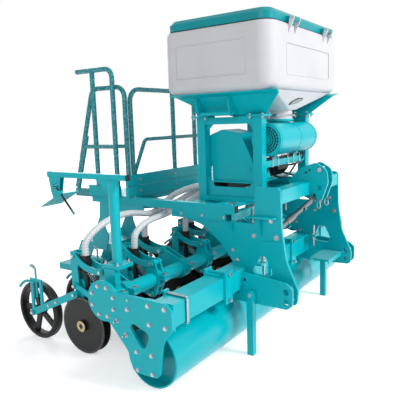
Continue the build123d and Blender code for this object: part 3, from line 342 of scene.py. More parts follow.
FINISHES = {}
DUST_COLOUR = (0.52, 0.49, 0.43, 1)
SCUFF_COLOUR = (0.35, 0.36, 0.36, 1)
STAIN_COLOUR = (0.20, 0.17, 0.13, 1)
# Lighter teal painted on the raised tread bars as their highlight
BAR_HIGHLIGHT_COLOUR = (0.34, 0.66, 0.70, 1)
WHITE = (1, 1, 1, 1)


def group(name, inputs, outputs):
    """Empty node group with its sockets."""
    made = bpy.data.node_groups.new(name, "ShaderNodeTree")
    for label, kind, value in inputs:
        socket = made.interface.new_socket(label, in_out="INPUT", socket_type=kind)
        socket.default_value = value
    for label, kind in outputs:
        made.interface.new_socket(label, in_out="OUTPUT", socket_type=kind)
    return made


class Wiring:
    """Adds and joins the nodes of one tree."""

    def __init__(self, tree):
        self.tree = tree

    def feed(self, socket, source):
        """Links a socket to another one or sets its value."""
        if isinstance(source, bpy.types.NodeSocket):
            self.tree.links.new(source, socket)
        else:
            socket.default_value = source

    def add(self, kind, links=None, **values):
        node = self.tree.nodes.new(kind)
        for key, value in values.items():
            setattr(node, key, value)
        for socket, source in (links or {}).items():
            self.feed(node.inputs[socket], source)
        return node

    def math(self, operation, a, b=0.0, clamp=False):
        return self.add("ShaderNodeMath", {0: a, 1: b}, operation=operation, use_clamp=clamp).outputs[0]

    def place(self):
        return self.add("ShaderNodeTexCoord").outputs["Object"]

    def level(self):
        """How far a face looks up: the height of its normal."""
        normal = self.add("ShaderNodeNewGeometry").outputs["Normal"]
        return self.add("ShaderNodeSeparateXYZ", {0: normal}).outputs["Z"]

    def noise(self, vector, scale, detail=3.0, roughness=0.5):
        links = {"Vector": vector, "Scale": scale, "Detail": detail, "Roughness": roughness}
        return self.add("ShaderNodeTexNoise", links).outputs["Fac"]

    def span(self, value, low, high, to_low=0.0, to_high=1.0):
        links = {"Value": value, "From Min": low, "From Max": high, "To Min": to_low, "To Max": to_high}
        return self.add("ShaderNodeMapRange", links, clamp=True).outputs["Result"]

    def mix(self, factor, a, b, blend="MIX"):
        node = self.add("ShaderNodeMix", {"Factor": factor}, data_type="RGBA", blend_type=blend)
        self.feed(node.inputs[6], a)
        self.feed(node.inputs[7], b)
        return node.outputs[2]

    def tile(self, value):
        """Distance from the middle of each unit step."""
        return self.math("ABSOLUTE", self.math("SUBTRACT", self.math("FRACT", value), 0.5))

    def bump(self, height, strength, distance):
        return self.add("ShaderNodeBump", {"Height": height, "Strength": strength, "Distance": distance})

    def dress(self, shader, base, rough, bump):
        """Joins colour, roughness and relief to a shader."""
        self.tree.links.new(base, shader.inputs["Base Color"])
        self.tree.links.new(rough, shader.inputs["Roughness"])
        self.tree.links.new(bump.outputs[0], shader.inputs["Normal"])


def empty_tree(owner):
    """Wiring of a material's or world's node tree, once emptied."""
    owner.use_nodes = True
    tree = owner.node_tree
    for node in list(tree.nodes):
        tree.nodes.remove(node)
    return Wiring(tree)


SKIN_OUTPUTS = [("Color", "NodeSocketColor"), ("Roughness", "NodeSocketFloat"), ("Height", "NodeSocketFloat")]


def coat_group():
    """Sprayed or moulded skin: tone drift, dust on top, scuffs and orange peel."""
    inputs = [
        ("Tone", "NodeSocketColor", (0.5, 0.5, 0.5, 1)), ("Dust", "NodeSocketFloat", 0.2),
        ("Gloss", "NodeSocketFloat", 0.25), ("Peel", "NodeSocketFloat", 260.0),
        ("Scuffs", "NodeSocketFloat", 0.3),
    ]
    made = group("worn_coat", inputs, SKIN_OUTPUTS)
    w = Wiring(made)
    given = w.add("NodeGroupInput")
    place = w.place()
    drift = w.span(w.noise(place, 3.2, 4.0), 0.3, 0.7, 0.95, 1.03)
    toned = w.mix(1.0, given.outputs["Tone"], drift, "MULTIPLY")
    settled = w.span(w.noise(place, 9.0, 6.0, 0.65), 0.42, 0.75)
    dusty = w.math("MULTIPLY", w.span(w.level(), 0.2, 1.0), settled)
    dusty = w.math("MULTIPLY", dusty, given.outputs["Dust"], clamp=True)
    dusted = w.mix(dusty, toned, DUST_COLOUR)
    streak = w.add("ShaderNodeMapping", {"Vector": place, "Scale": (60.0, 60.0, 9.0)}).outputs[0]
    scratch = w.span(w.noise(streak, 1.0, 5.0, 0.7), 0.6, 0.72)
    scuff = w.math("MULTIPLY", scratch, given.outputs["Scuffs"], clamp=True)
    scuffed = w.mix(w.math("MULTIPLY", scuff, 0.35), dusted, SCUFF_COLOUR)
    peel = w.noise(place, given.outputs["Peel"], 2.0)
    rough = w.math("ADD", given.outputs["Gloss"], w.math("MULTIPLY", dusty, 0.5))
    rough = w.math("ADD", rough, w.math("MULTIPLY", scuff, 0.3))
    rough = w.math("ADD", rough, w.span(w.noise(place, 24.0, 3.0), 0.3, 0.7, -0.01, 0.02), clamp=True)
    w.add("NodeGroupOutput", {"Color": scuffed, "Roughness": rough, "Height": peel})
    return made


def grip_group():
    """Pressed bars on level faces, in two crossed directions; the mask also places the bars' painted
    highlight.
    """
    outputs = [("Height", "NodeSocketFloat"), ("Mask", "NodeSocketFloat")]
    made = group("grip_bars", [("Bars", "NodeSocketFloat", 32.0)], outputs)
    w = Wiring(made)
    given = w.add("NodeGroupInput")
    links = {0: w.place(), "Scale": given.outputs["Bars"]}
    scaled = w.add("ShaderNodeVectorMath", links, operation="SCALE").outputs[0]
    masks = []
    for turn, shift in ((math.radians(45), 0.0), (math.radians(-45), 0.5)):
        links = {"Vector": scaled, "Rotation": (0.0, 0.0, turn), "Location": (shift, shift, 0.0)}
        spun = w.add("ShaderNodeMapping", links).outputs[0]
        part = w.add("ShaderNodeSeparateXYZ", {0: spun})
        wide = w.span(w.tile(part.outputs["X"]), 0.10, 0.15, 1.0, 0.0)
        tall = w.span(w.tile(part.outputs["Y"]), 0.30, 0.36, 1.0, 0.0)
        masks.append(w.math("MULTIPLY", wide, tall))
    both = w.math("MAXIMUM", masks[0], masks[1])
    mask = w.math("MULTIPLY", both, w.span(w.level(), 0.8, 0.9))
    w.add("NodeGroupOutput", {"Height": mask, "Mask": mask})
    return made


def plated_group():
    """Zinc or bare steel: fine lines, stains and dull spots."""
    inputs = [("Tone", "NodeSocketColor", (0.6, 0.6, 0.6, 1)), ("Stain", "NodeSocketFloat", 0.3)]
    made = group("plated_metal", inputs, SKIN_OUTPUTS)
    w = Wiring(made)
    given = w.add("NodeGroupInput")
    place = w.place()
    spots = w.span(w.noise(place, 55.0, 5.0), 0.45, 0.7)
    stain = w.math("MULTIPLY", spots, given.outputs["Stain"], clamp=True)
    toned = w.mix(stain, given.outputs["Tone"], STAIN_COLOUR)
    fine = w.noise(place, 900.0, 2.0)
    rough = w.math("ADD", w.span(fine, 0.3, 0.7, 0.24, 0.36), w.math("MULTIPLY", stain, 0.4), clamp=True)
    w.add("NodeGroupOutput", {"Color": toned, "Roughness": rough, "Height": fine})
    return made


def shared(name):
    """Node group of that name, made at its first use."""
    makers = {"worn_coat": coat_group, "grip_bars": grip_group, "plated_metal": plated_group}
    return bpy.data.node_groups.get(name) or makers[name]()


def start_finish(name):
    """Material with its shader and nothing else, kept by name."""
    made = bpy.data.materials.new(name)
    w = empty_tree(made)
    shader = w.add("ShaderNodeBsdfPrincipled")
    w.add("ShaderNodeOutputMaterial", {"Surface": shader.outputs[0]})
    FINISHES[name] = made
    return w, shader


def coat(
    name, tone, dust=0.15, gloss=0.25, peel=260.0, scuffs=0.3, relief=0.05, clear=0.0, grip=False, shine=0.5
):
    """A painted or moulded finish."""
    w, shader = start_finish(name)
    links = {"Tone": (*tone, 1), "Dust": dust, "Gloss": gloss, "Peel": peel, "Scuffs": scuffs}
    skin = w.add("ShaderNodeGroup", node_tree=shared("worn_coat"))
    for label, value in links.items():
        skin.inputs[label].default_value = value
    bump = w.bump(skin.outputs["Height"], relief, 0.0006)
    base = skin.outputs["Color"]
    if grip:
        bars = w.add("ShaderNodeGroup", node_tree=shared("grip_bars"))
        bars.inputs["Bars"].default_value = sizes().grip_scale
        raised = w.bump(bars.outputs["Height"], 0.9, 0.004)
        w.feed(raised.inputs["Normal"], bump.outputs[0])
        bump = raised
        # Painted highlight: the raised bars are mixed towards a lighter teal
        base = w.mix(w.math("MULTIPLY", bars.outputs["Mask"], 0.7), base, BAR_HIGHLIGHT_COLOUR)
    w.dress(shader, base, skin.outputs["Roughness"], bump)
    shader.inputs["Coat Weight"].default_value = clear
    shader.inputs["Coat Roughness"].default_value = 0.08
    shader.inputs["Specular IOR Level"].default_value = shine


def plated(name, tone, stain):
    """A bare or plated metal finish."""
    w, shader = start_finish(name)
    skin = w.add("ShaderNodeGroup", node_tree=shared("plated_metal"))
    skin.inputs["Tone"].default_value = (*tone, 1)
    skin.inputs["Stain"].default_value = stain
    bump = w.bump(skin.outputs["Height"], 0.08, 0.0003)
    w.dress(shader, skin.outputs["Color"], skin.outputs["Roughness"], bump)
    shader.inputs["Metallic"].default_value = 1.0


def mottled(name, tone, light):
    """Textured grip finish of the hand rails: light flecks over the paint."""
    w, shader = start_finish(name)
    fleck = w.span(w.noise(w.place(), 70.0, 2.0, 0.4), 0.5, 0.56)
    base = w.mix(w.math("MULTIPLY", fleck, 0.6), (*tone, 1), (*light, 1))
    w.dress(shader, base, w.span(fleck, 0.0, 1.0, 0.3, 0.45), w.bump(fleck, 0.35, 0.001))


def finish(name):
    return FINISHES[name]


# Which finish each kind of CAD node takes; the rest take the frame paint
NODE_FINISHES = {
    "hopper": "hopper_plastic",
    "hopper_lid": "lid_plastic",
    "packer_roller": "roller_paint",
    "roller_bearings": "cast_black",
    "seed_tubes": "sleeve_black",
    "fan_motor": "motor_black",
    "manifold": "motor_black",
    "platform_deck": "grip_paint",
    "steps": "grip_paint",
    "front_step": "grip_paint",
    "handrails": "rail_finish",
    "adjuster_strut": "rod_steel",
    "disc_pair": "disc_black",
    "press_wheel": "wheel_rubber",
}


class SEEDER_OT_finishes(bpy.types.Operator):
    """Makes the finishes and gives them to the CAD nodes"""
    bl_idname = "seeder.finishes"
    bl_label = "Finishes"

    def execute(self, context):
        p = paint()
        teal, black = p.frame_paint, p.black_tone
        coat("frame_paint", teal, dust=0.01, gloss=0.30, scuffs=0.02, shine=0.25)
        coat("roller_paint", teal, dust=0.0, gloss=0.20, scuffs=0.02, shine=0.28)
        coat("grip_paint", teal, dust=0.05, gloss=0.36, scuffs=0.08, grip=True, shine=0.4)
        lid = p.lid_tone
        coat("lid_plastic", lid, dust=0.03, gloss=0.34, scuffs=0.05, peel=420.0, relief=0.12, shine=0.3)
        coat("hopper_plastic", p.hopper_tone, dust=0.05, gloss=0.42, peel=520.0, scuffs=0.08, relief=0.16)
        coat("hose_plastic", p.hose_tone, dust=0.1, gloss=0.35, peel=300.0, relief=0.08)
        coat("sleeve_black", black, dust=0.03, gloss=0.42, scuffs=0.1, peel=420.0, shine=0.3)
        coat("motor_black", black, dust=0.03, gloss=0.38, scuffs=0.1, peel=380.0, relief=0.1, shine=0.3)
        coat("cast_black", black, dust=0.05, gloss=0.5, scuffs=0.1, peel=190.0, relief=0.3, shine=0.3)
        coat("disc_black", black, dust=0.02, gloss=0.40, scuffs=0.12, peel=500.0, shine=0.3)
        coat("wheel_rubber", black, dust=0.03, gloss=0.46, scuffs=0.1, peel=240.0, relief=0.2, shine=0.3)
        coat("cable_black", black, dust=0.04, gloss=0.4, peel=300.0)
        coat("sight_green", (0.01, 0.09, 0.08), dust=0.0, gloss=0.12, clear=0.6)
        coat("tie_white", (0.7, 0.71, 0.72), dust=0.05, gloss=0.4)
        plated("zinc", p.zinc_tone, 0.2)
        plated("bare_steel", (0.40, 0.40, 0.41), 0.4)
        plated("worn_edge", (0.07, 0.07, 0.075), 0.3)
        plated("rod_steel", (0.24, 0.25, 0.26), 0.25)
        plated("brass_cap", (0.55, 0.44, 0.26), 0.35)
        mottled("rail_finish", (0.0, 0.23, 0.27), (0.12, 0.50, 0.56))
        for name, node in NODES.items():
            kind = name.rstrip("_0123456789")
            node.data.materials.clear()
            node.data.materials.append(finish(NODE_FINISHES.get(kind, "frame_paint")))
        return {"FINISHED"}


# Stage

EYE_PLACE = (-2997.8, -1598.97, 1369.4)
EYE_YAW, EYE_PITCH, EYE_ROLL = -0.96457, 0.15767, -0.03211
EYE_FOCUS = 494.44 / 400.0       # focal length as a share of the picture's width
SENSOR = 36.0
LAMPS = (
    # name, place, target, diameter, power in watts
    ("key_lamp", (1100, -7800, 6200), (0, 200, 700), 3600, 680.0),
    ("side_lamp", (-4300, -600, 2600), (0, 200, 700), 2600, 40.0),
    ("rear_lamp", (2600, 3600, 3200), (0, 200, 800), 2600, 90.0),
)
SKY_COLOUR = (0.97, 0.98, 1.0, 1)
SKY_STRENGTH = 0.38
FLOOR_HALF = 14.0                # metres
FLOOR_DROP = 0.001
GLOW_REACH = (1.2, 5.0)          # metres from the middle over which the floor turns white
GLOW_STRENGTH = (0.5, 1.0)


def add_camera(scene):
    eye = bpy.data.cameras.new("eye")
    eye.sensor_width = SENSOR
    eye.lens = EYE_FOCUS * SENSOR
    eye.clip_end = 100.0
    camera = bpy.data.objects.new("eye", eye)
    scene.collection.objects.link(camera)
    flat = math.cos(EYE_PITCH)
    ahead = Vector((-math.sin(EYE_YAW) * flat, math.cos(EYE_YAW) * flat, -math.sin(EYE_PITCH)))
    level = Vector((math.cos(EYE_YAW), math.sin(EYE_YAW), 0.0))
    above = level.cross(ahead)
    right = level * math.cos(EYE_ROLL) + above * math.sin(EYE_ROLL)
    up = above * math.cos(EYE_ROLL) - level * math.sin(EYE_ROLL)
    turn = Matrix((right, up, -ahead)).transposed().to_4x4()
    camera.matrix_world = Matrix.Translation(at(*EYE_PLACE)) @ turn
    scene.camera = camera


def add_lamps(scene):
    for name, place, target, size, power in LAMPS:
        lamp = bpy.data.lights.new(name, "AREA")
        lamp.shape = "DISK"
        lamp.size = size * MM
        lamp.energy = power
        made = bpy.data.objects.new(name, lamp)
        scene.collection.objects.link(made)
        way = at(*target) - at(*place)
        turn = way.to_track_quat("-Z", "Y").to_matrix().to_4x4()
        made.matrix_world = Matrix.Translation(at(*place)) @ turn


def add_world(scene):
    """White to the eye and nearly so in gloss, dimmer as light."""
    scene.world = bpy.data.worlds.new("studio")
    w = empty_tree(scene.world)
    path = w.add("ShaderNodeLightPath")
    seen = w.math("MAXIMUM", path.outputs["Is Camera Ray"], path.outputs["Is Transmission Ray"])
    seen = w.math("MAXIMUM", seen, w.math("MULTIPLY", path.outputs["Is Glossy Ray"], 0.8))
    plain = w.add("ShaderNodeBackground", {"Color": SKY_COLOUR, "Strength": SKY_STRENGTH})
    white = w.add("ShaderNodeBackground", {"Color": WHITE, "Strength": 1.0})
    mixed = w.add("ShaderNodeMixShader", {0: seen, 1: plain.outputs[0], 2: white.outputs[0]})
    w.add("ShaderNodeOutputWorld", {"Surface": mixed.outputs[0]})


def floor_material():
    """Matt white that glows away from the machine, to the eye and in gloss."""
    made = bpy.data.materials.new("floor_white")
    w = empty_tree(made)
    place = w.place()
    grain = w.span(w.noise(place, 6.0, 3.0), 0.3, 0.7, 0.88, 0.93)
    matt = w.add("ShaderNodeBsdfDiffuse", {"Color": grain})
    path = w.add("ShaderNodeLightPath")
    away = w.add("ShaderNodeVectorMath", {0: place}, operation="LENGTH").outputs["Value"]
    strength = w.span(away, *GLOW_REACH, *GLOW_STRENGTH)
    glow = w.add("ShaderNodeEmission", {"Color": WHITE, "Strength": strength})
    both = w.add("ShaderNodeAddShader", {0: matt.outputs[0], 1: glow.outputs[0]})
    seen = w.math("MAXIMUM", path.outputs["Is Camera Ray"], path.outputs["Is Glossy Ray"])
    mixed = w.add("ShaderNodeMixShader", {0: seen, 1: matt.outputs[0], 2: both.outputs[0]})
    w.add("ShaderNodeOutputMaterial", {"Surface": mixed.outputs[0]})
    return made


class SEEDER_OT_stage(bpy.types.Operator):
    """Places the camera, the lamps and the plain floor"""
    bl_idname = "seeder.stage"
    bl_label = "Stage"

    def execute(self, context):
        scene = bpy.context.scene
        scene.view_settings.view_transform = "Standard"
        add_camera(scene)
        add_lamps(scene)
        add_world(scene)
        mesh = bpy.data.meshes.new("floor")
        half = FLOOR_HALF
        corners = [(-half, -half, 0), (half, -half, 0), (half, half, 0), (-half, half, 0)]
        mesh.from_pydata(corners, [], [(0, 1, 2, 3)])
        mesh.materials.append(floor_material())
        floor = bpy.data.objects.new("floor", mesh)
        floor.location = (0.0, 0.0, -FLOOR_DROP)
        scene.collection.objects.link(floor)
        return {"FINISHED"}


# Fasteners

END_PLATE_BOLTS = [
    # y, z, thread, length of the thread that stands out
    (100, 428, 13, 0), (-40, 474, 13, 0), (-144, 475, 13, 0), (-44, 377, 13, 0), (-146, 379, 13, 0),
    (51, 209, 12, 0), (-50, 213, 13, 0), (47, 112, 12, 0), (-51, 113, 13, 0),
    (176, 353, 13, 18), (118, 287, 13, 18), (97, 477, 7, 0),
]
TOWER_BOLTS = [
    # y, z, thread
    (-347, 793, 15), (-235, 693, 15), (-381, 696, 16), (-120, 531, 14), (-89, 590, 12),
]
# Painted shade: black discs in the through holes of the link plates
LINK_HOLE_SHADES = [
    # y, z, radius
    (-207, 441, 9), (-159, 365, 9),
]
# Painted shade: black discs in the through holes of the top plates
TOP_PLATE_HOLE_SHADES = [
    # y, z, radius
    (-407, 1045, 6), (-382, 1029, 7), (-439, 890, 8),
]
TOP_PLATE_BOLTS = [
    # y, z, thread
    (-471, 1048, 15), (-478, 852, 10),
]
FLANGE_RADIUS = 84
HOLE_SHADE_RISE = 0.8


class SEEDER_OT_frame_bolts(bpy.types.Operator):
    """Bolts of the end plates, towers, beam clamps, posts and platform"""
    bl_idname = "seeder.frame_bolts"
    bl_label = "Frame bolts"

    def execute(self, context):
        size = sizes().flange_bolt / MM
        made = Maker()
        for side in SIDES:
            out, inward = (side, 0, 0), (-side, 0, 0)
            for y, z, thread, tail in END_PLATE_BOLTS:
                made.bolt(at(side * END_FACE, y, z), out, thread, shank=tail)
            for dy, dz in circle(8, FLANGE_RADIUS, 22.5):
                made.bolt(at(side * END_FACE, TUBE_Y + dy, TUBE_Z + dz), out, size)
            for y, z, thread in TOWER_BOLTS:
                made.bolt(at(side * TOWER_OUT, y, z), out, thread)
                made.bolt(at(side * TOWER_IN, y, z), inward, thread)
            for x in CLAMP_XS:
                for dz in (-76, 76):
                    made.bolt(at(side * x, CLAMP_FRONT, BEAM_MIDDLE + dz), FRONT, 13.0)
                    made.bolt(at(side * x, CLAMP_REAR, BEAM_MIDDLE + dz), REAR, 13.0)
            for dz in (-68, 68):
                made.bolt(at(side * BENT_BOLT_X, -55, BEAM_MIDDLE + dz), REAR, 12.0, shank=8.0)
            # Foot plates of the hopper on the posts
            for y in (-200, 205):
                for dx, dy in square(42):
                    x = side * POST_X + dx
                    top = 1400 if side * dx > 0 else 1406
                    made.bolt(at(x, y + dy, 1390), DOWN, 10.0, shank=6.0)
                    made.bolt(at(x, y + dy, top), UP, 10.0)
            for y in (-83, 120, 348, 695):
                made.bolt(at(side * RAIL_X, y, RAIL_TOP), UP, 10.0)
            for y in (-40, 120, 280):
                made.bolt(at(side * 500, y, 790), out, 10.0)
            made.bolt(at(side * 601, -262, 366), out, 13.0)
        # Toe board, deck, foot and clamp of the marker post
        for x in (-400, 0, 400):
            for z in (903, 982):
                made.bolt(at(x, 705, z), FRONT, 10.0)
        for x in (-440, -250, 250, 440):
            for y in (760, 1060):
                made.bolt(at(x, y, 871), UP, 8.0, washer=False)
        for dx, dy in square(44):
            made.bolt(at(MARKER_X + dx, TUBE_Y + dy, 618), UP, 12.0, shank=6.0)
        made.bolt(at(-1150, 204, 481), UP, 12.0)
        for side in SIDES:
            for y, z, thread in TOP_PLATE_BOLTS:
                made.bolt(at(side * TOP_PLATE_X, y, z), (side, 0, 0), thread)
        made.piece("frame_bolts", "zinc")
        # Painted shade: black discs over the holes that go through, standing for the dark inside of the holes
        hole_shade_discs = Maker()
        for side in SIDES:
            for x, holes in ((555, LINK_HOLE_SHADES), (TOP_PLATE_X, TOP_PLATE_HOLE_SHADES)):
                for y, z, radius in holes:
                    hole_shade_discs.lathe(at(side * x, y, z), (side, 0, 0), [(0, radius), (HOLE_SHADE_RISE, radius)], 20)
        hole_shade_discs.piece("painted_hole_shade", "sleeve_black")
        return {"FINISHED"}


class SEEDER_OT_row_bolts(bpy.types.Operator):
    """Nuts on the arm pins and clamp bolts of the row units"""
    bl_idname = "seeder.row_bolts"
    bl_label = "Row bolts"

    def execute(self, context):
        size = sizes().pin_nut / MM
        made = Maker()
        near = (-1, 0, 0)
        for x, back in ROWS:
            ahead = [(y + back, z) for y, z in (UPPER_PIN, LOWER_PIN)]
            behind = [(y + ARM_REACH[0], z + ARM_REACH[1]) for y, z in ahead]
            for y, z in ahead + behind:
                for side in SIDES:
                    made.bolt(at(x + side * ARM_PIN_X, y, z), (side, 0, 0), size, washer=False)
            made.bolt(at(x, 193, 481), UP, size)
            made.bolt(at(x, 193, 449), DOWN, size)
            pivot_y, pivot_z = WHEEL_PIVOT[0] + back, WHEEL_PIVOT[1]
            axle_y, axle_z = WHEEL_AXLE[0] + back, WHEEL_AXLE[1]
            made.bolt(at(x - 68, pivot_y, pivot_z), near, size, washer=False)
            for share in (0.42, 0.6):
                y = pivot_y + share * (axle_y - pivot_y)
                z = pivot_z - share * (pivot_z - axle_z)
                made.bolt(at(x - 62, y, z), near, size * 0.75)
            made.bolt(at(x - 68, axle_y, axle_z), near, size * 1.1, washer=False)
        made.piece("row_bolts", "zinc")
        return {"FINISHED"}


# Rows; profiles are rows of (distance along the axis, radius)

DISC_CAP = [(0, 34), (2.5, 34), (5, 30), (5, 20), (3, 18), (3, 8)]
DISC_EDGE = [(-0.4, 163), (-0.4, 172), (1.2, 175.4), (4.4, 175.4), (4.4, 172), (0.5, 163)]
TYRE_RING = [(24.0, 158), (29.0, 160), (30.5, 166), (29.5, 176), (26.0, 182), (22.0, 178)]
HUB_RING = [(20.0, 17), (34.0, 17), (34.0, 27), (30.0, 33), (20.0, 33)]
STUD_RADIUS = 25


class SEEDER_OT_discs(bpy.types.Operator):
    """Hub caps and sharpened edges of the disc pairs"""
    bl_idname = "seeder.discs"
    bl_label = "Disc details"

    def execute(self, context):
        for number, (x, back) in enumerate(ROWS, 1):
            y, z = DISC_AXLE[0] + back, DISC_AXLE[1]
            cap = Maker()
            edge = Maker()
            for side in SIDES:
                out = (side, 0, 0)
                cap.lathe(at(x + side * 44, y, z), out, DISC_CAP, 28)
                for dy, dz in circle(6, STUD_RADIUS):
                    cap.bolt(at(x + side * 49, y + dy, z + dz), out, 5.0, washer=False)
                edge.lathe(at(x + side * 28, y, z), (-side, 0, 0), DISC_EDGE, 64, loop=True)
            cap.piece(f"disc_caps_{number}", "brass_cap", f"discs_{number}")
            edge.piece(f"disc_edges_{number}", "worn_edge", f"discs_{number}", smooth=20.0)
        return {"FINISHED"}


class SEEDER_OT_wheels(bpy.types.Operator):
    """Tyre rings, hub rings and hub studs of the press wheels"""
    bl_idname = "seeder.wheels"
    bl_label = "Wheel details"

    def execute(self, context):
        for number, (x, back) in enumerate(ROWS, 1):
            y, z = WHEEL_AXLE[0] + back, WHEEL_AXLE[1]
            ring = Maker()
            hub = Maker()
            for side in SIDES:
                out = (side, 0, 0)
                ring.lathe(at(x, y, z), out, TYRE_RING, 56, loop=True)
                ring.lathe(at(x, y, z), out, HUB_RING, 28, loop=True)
                for dy, dz in circle(5, STUD_RADIUS, 90):
                    hub.bolt(at(x + side * 28, y + dy, z + dz), out, 5.5, washer=False)
            ring.piece(f"wheel_rings_{number}", "wheel_rubber", f"wheel_{number}")
            hub.piece(f"wheel_studs_{number}", "zinc", f"wheel_{number}")
        return {"FINISHED"}


SPRING_TURNS = 13
SPRING_STEPS = 8       # points in one turn
SPRING_RADIUS = 13
SPRING_WIRE = 2.6


def spring(made, start, end):
    """Coil with straight ends between two points in metres."""
    way = end - start
    side = way.orthogonal().normalized()
    up = way.normalized().cross(side)
    steps = SPRING_TURNS * SPRING_STEPS
    coil = []
    for k in range(steps + 1):
        angle = 2 * math.pi * k / SPRING_STEPS
        arm = side * math.cos(angle) + up * math.sin(angle)
        coil.append(start + way * (0.1 + 0.8 * k / steps) + arm * SPRING_RADIUS * MM)
    made.tube([start] + coil + [end], SPRING_WIRE, 6)


class SEEDER_OT_row_trim(bpy.types.Operator):
    """Springs, sleeve bands, crank handles and rear arms of the row units"""
    bl_idname = "seeder.row_trim"
    bl_label = "Row trim"

    def execute(self, context):
        steel = Maker()
        black = Maker()
        teal = Maker()
        for x, back in ROWS:
            spring(steel, at(x, 300 + back, 400), at(x, 452 + back, 560))
            y = SLEEVE_Y + back
            black.band(at(x, y, 509), UP, (27.6, 29.5), (0, 8), 20)
            black.lathe(at(x, y, 600), UP, [(0, 27.6), (0, 30.0), (14, 30.0), (14, 27.4)], 20, loop=True)
            # Crank handle and curved rear arm
            arm_x, wheel = x - 57, WHEEL_AXLE[0] + back
            crank = [(-52, 470), (-52, 505), (-20, 508)]
            arm = [(-40, 396), (40, 400), (100, 366), (118, 345)]
            steel.tube(spline_points([at(arm_x, wheel + dy, z) for dy, z in crank], 0.008), 6.5, 8)
            teal.tube(spline_points([at(arm_x, wheel + dy, z) for dy, z in arm], 0.02), 9.0, 8)
        steel.piece("row_springs", "bare_steel")
        black.piece("sleeve_bands", "sleeve_black")
        teal.piece("tine_arms", "frame_paint")
        return {"FINISHED"}


# Middle line of each near-side hose, by its place from the middle row
HOSE_ROUTES = {
    4: [
        (-200, 330, 941), (-320, 505, 872), (-475, 525, 757), (-650, 588, 800), (-860, 560, 796),
        (-1000, 548, 758), (-1064, 573, 690),
    ],
    3: [(-150, 275, 941), (-165, 345, 872), (-430, 446, 762), (-640, 446, 758), (-790, 424, 712)],
    2: [(-100, 310, 941), (-230, 458, 850), (-400, 540, 742), (-526, 572, 716)],
    1: [(-50, 275, 941), (-58, 345, 872), (-258, 424, 738)],
    0: [(0, 330, 941), (0, 510, 865), (0, 573, 760)],
}

# Radius over one rib of a hose, as shares of the largest
HOSE_RIB = (1.0, 1.0, 1.0, 0.9, 0.9)
SPOUT_PITCH = 50


class SEEDER_OT_hoses(bpy.types.Operator):
    """Ribbed seed hoses from the outlet box to the sleeves"""
    bl_idname = "seeder.hoses"
    bl_label = "Seed hoses"

    def execute(self, context):
        s = sizes()
        radius = s.hose_diameter / MM / 2
        steps = len(HOSE_RIB)
        made = Maker()
        bands = Maker()
        for index, (x, back) in enumerate(ROWS):
            place = index - ROW_MIDDLE
            side = -1 if place > 0 else 1
            start = place * SPOUT_PITCH
            y = SLEEVE_Y + back
            route = [(start, 211, SPOUT_Z)]
            route += [(side * px, py, pz) for px, py, pz in HOSE_ROUTES[abs(place)]]
            route += [(x, y, 640), (x, y, 588)]
            line = spline_points([at(*point) for point in route], s.hose_pitch / steps)
            radii = [radius * HOSE_RIB[k % steps] for k in range(len(line))]
            made.tube(line, radii, s.hose_sides)
            bands.band(at(start, 213, SPOUT_Z), REAR, (21.2, 24), (0, 11), 20)
        hoses = made.piece("seed_hose_set", "hose_plastic")
        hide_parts("seed_hoses")
        bands.piece("hose_clips", "zinc")
        return {"FINISHED"}


# Hopper, fan and cables

LID_EARS = (-265, 265)
LID_PIN = (-402, 1928)
RIB_XS = (-330, -110, 110, 330)
SIGHT_OUTLINE = [(-112, 1452), (-2, 1466), (44, 1480), (42, 1496), (-40, 1494), (-102, 1473)]
SIGHT_MIDDLE = (-28.0, 1477.0)
SIGHT_PARTS = (
    # name, finish, share of the outline, lift off the slope, thickness
    ("sight_frame", "sleeve_black", 1.0, 0.0, 2.5),
    ("sight_window", "sight_green", 0.8, 2.0, 2.0),
)


class SEEDER_OT_hopper_trim(bpy.types.Operator):
    """Lid ribs, hinge pins, panel frames, sight window and outlet clamp"""
    bl_idname = "seeder.hopper_trim"
    bl_label = "Hopper trim"

    def execute(self, context):
        pins = Maker()
        for x in LID_EARS:
            for side in SIDES:
                pins.bolt(at(x + side * 46, *LID_PIN), (side, 0, 0), 8.0)
        pins.piece("lid_pins", "zinc")
        ribs = Maker()
        for x in RIB_XS:
            section = [(x - 26, 1971.2), (x + 26, 1971.2), (x + 18, 1978), (x - 18, 1978)]
            ribs.rings([[at(px, y, pz) for px, pz in section] for y in (-300, -296, 288, 292)])
        ribs.piece("lid_ribs", "lid_plastic", "lid")
        # Moulded frames round the sunk panels of the hopper's walls
        frames = Maker()
        for side in SIDES:
            frames.frame_line(side * 525, (-218, 262), (1620, 1815), 16, "X")
        frames.frame_line(-380, (-335, 335), (1620, 1795), 16, "Y")
        frames.piece("panel_frames", "hopper_plastic", smooth=60.0)
        # Sight window on the front slope of the funnel
        slope = Vector((0.0, -110.0, -85.0)).normalized()
        middle_x, middle_z = SIGHT_MIDDLE
        for name, material, share, lift, thick in SIGHT_PARTS:
            points = []
            for x, z in SIGHT_OUTLINE:
                x = middle_x + (x - middle_x) * share
                z = middle_z + (z - middle_z) * share
                points.append(Vector((x, -265 - (z - 1425) * 85 / 110, z)) + slope * lift)
            window = Maker()
            window.plate([tuple(point) for point in points], slope, thick)
            window.piece(name, material)
        clamp = Maker()
        clamp.band(at(0, OUTLET_Y, OUTLET_Z), UP, (90.3, 93.5), (0, 14), 48)
        clamp.block((74, OUTLET_Y - 74, OUTLET_Z), (98, OUTLET_Y - 52, OUTLET_Z + 14), 2.0)
        clamp.piece("outlet_clamp", "zinc")
        return {"FINISHED"}


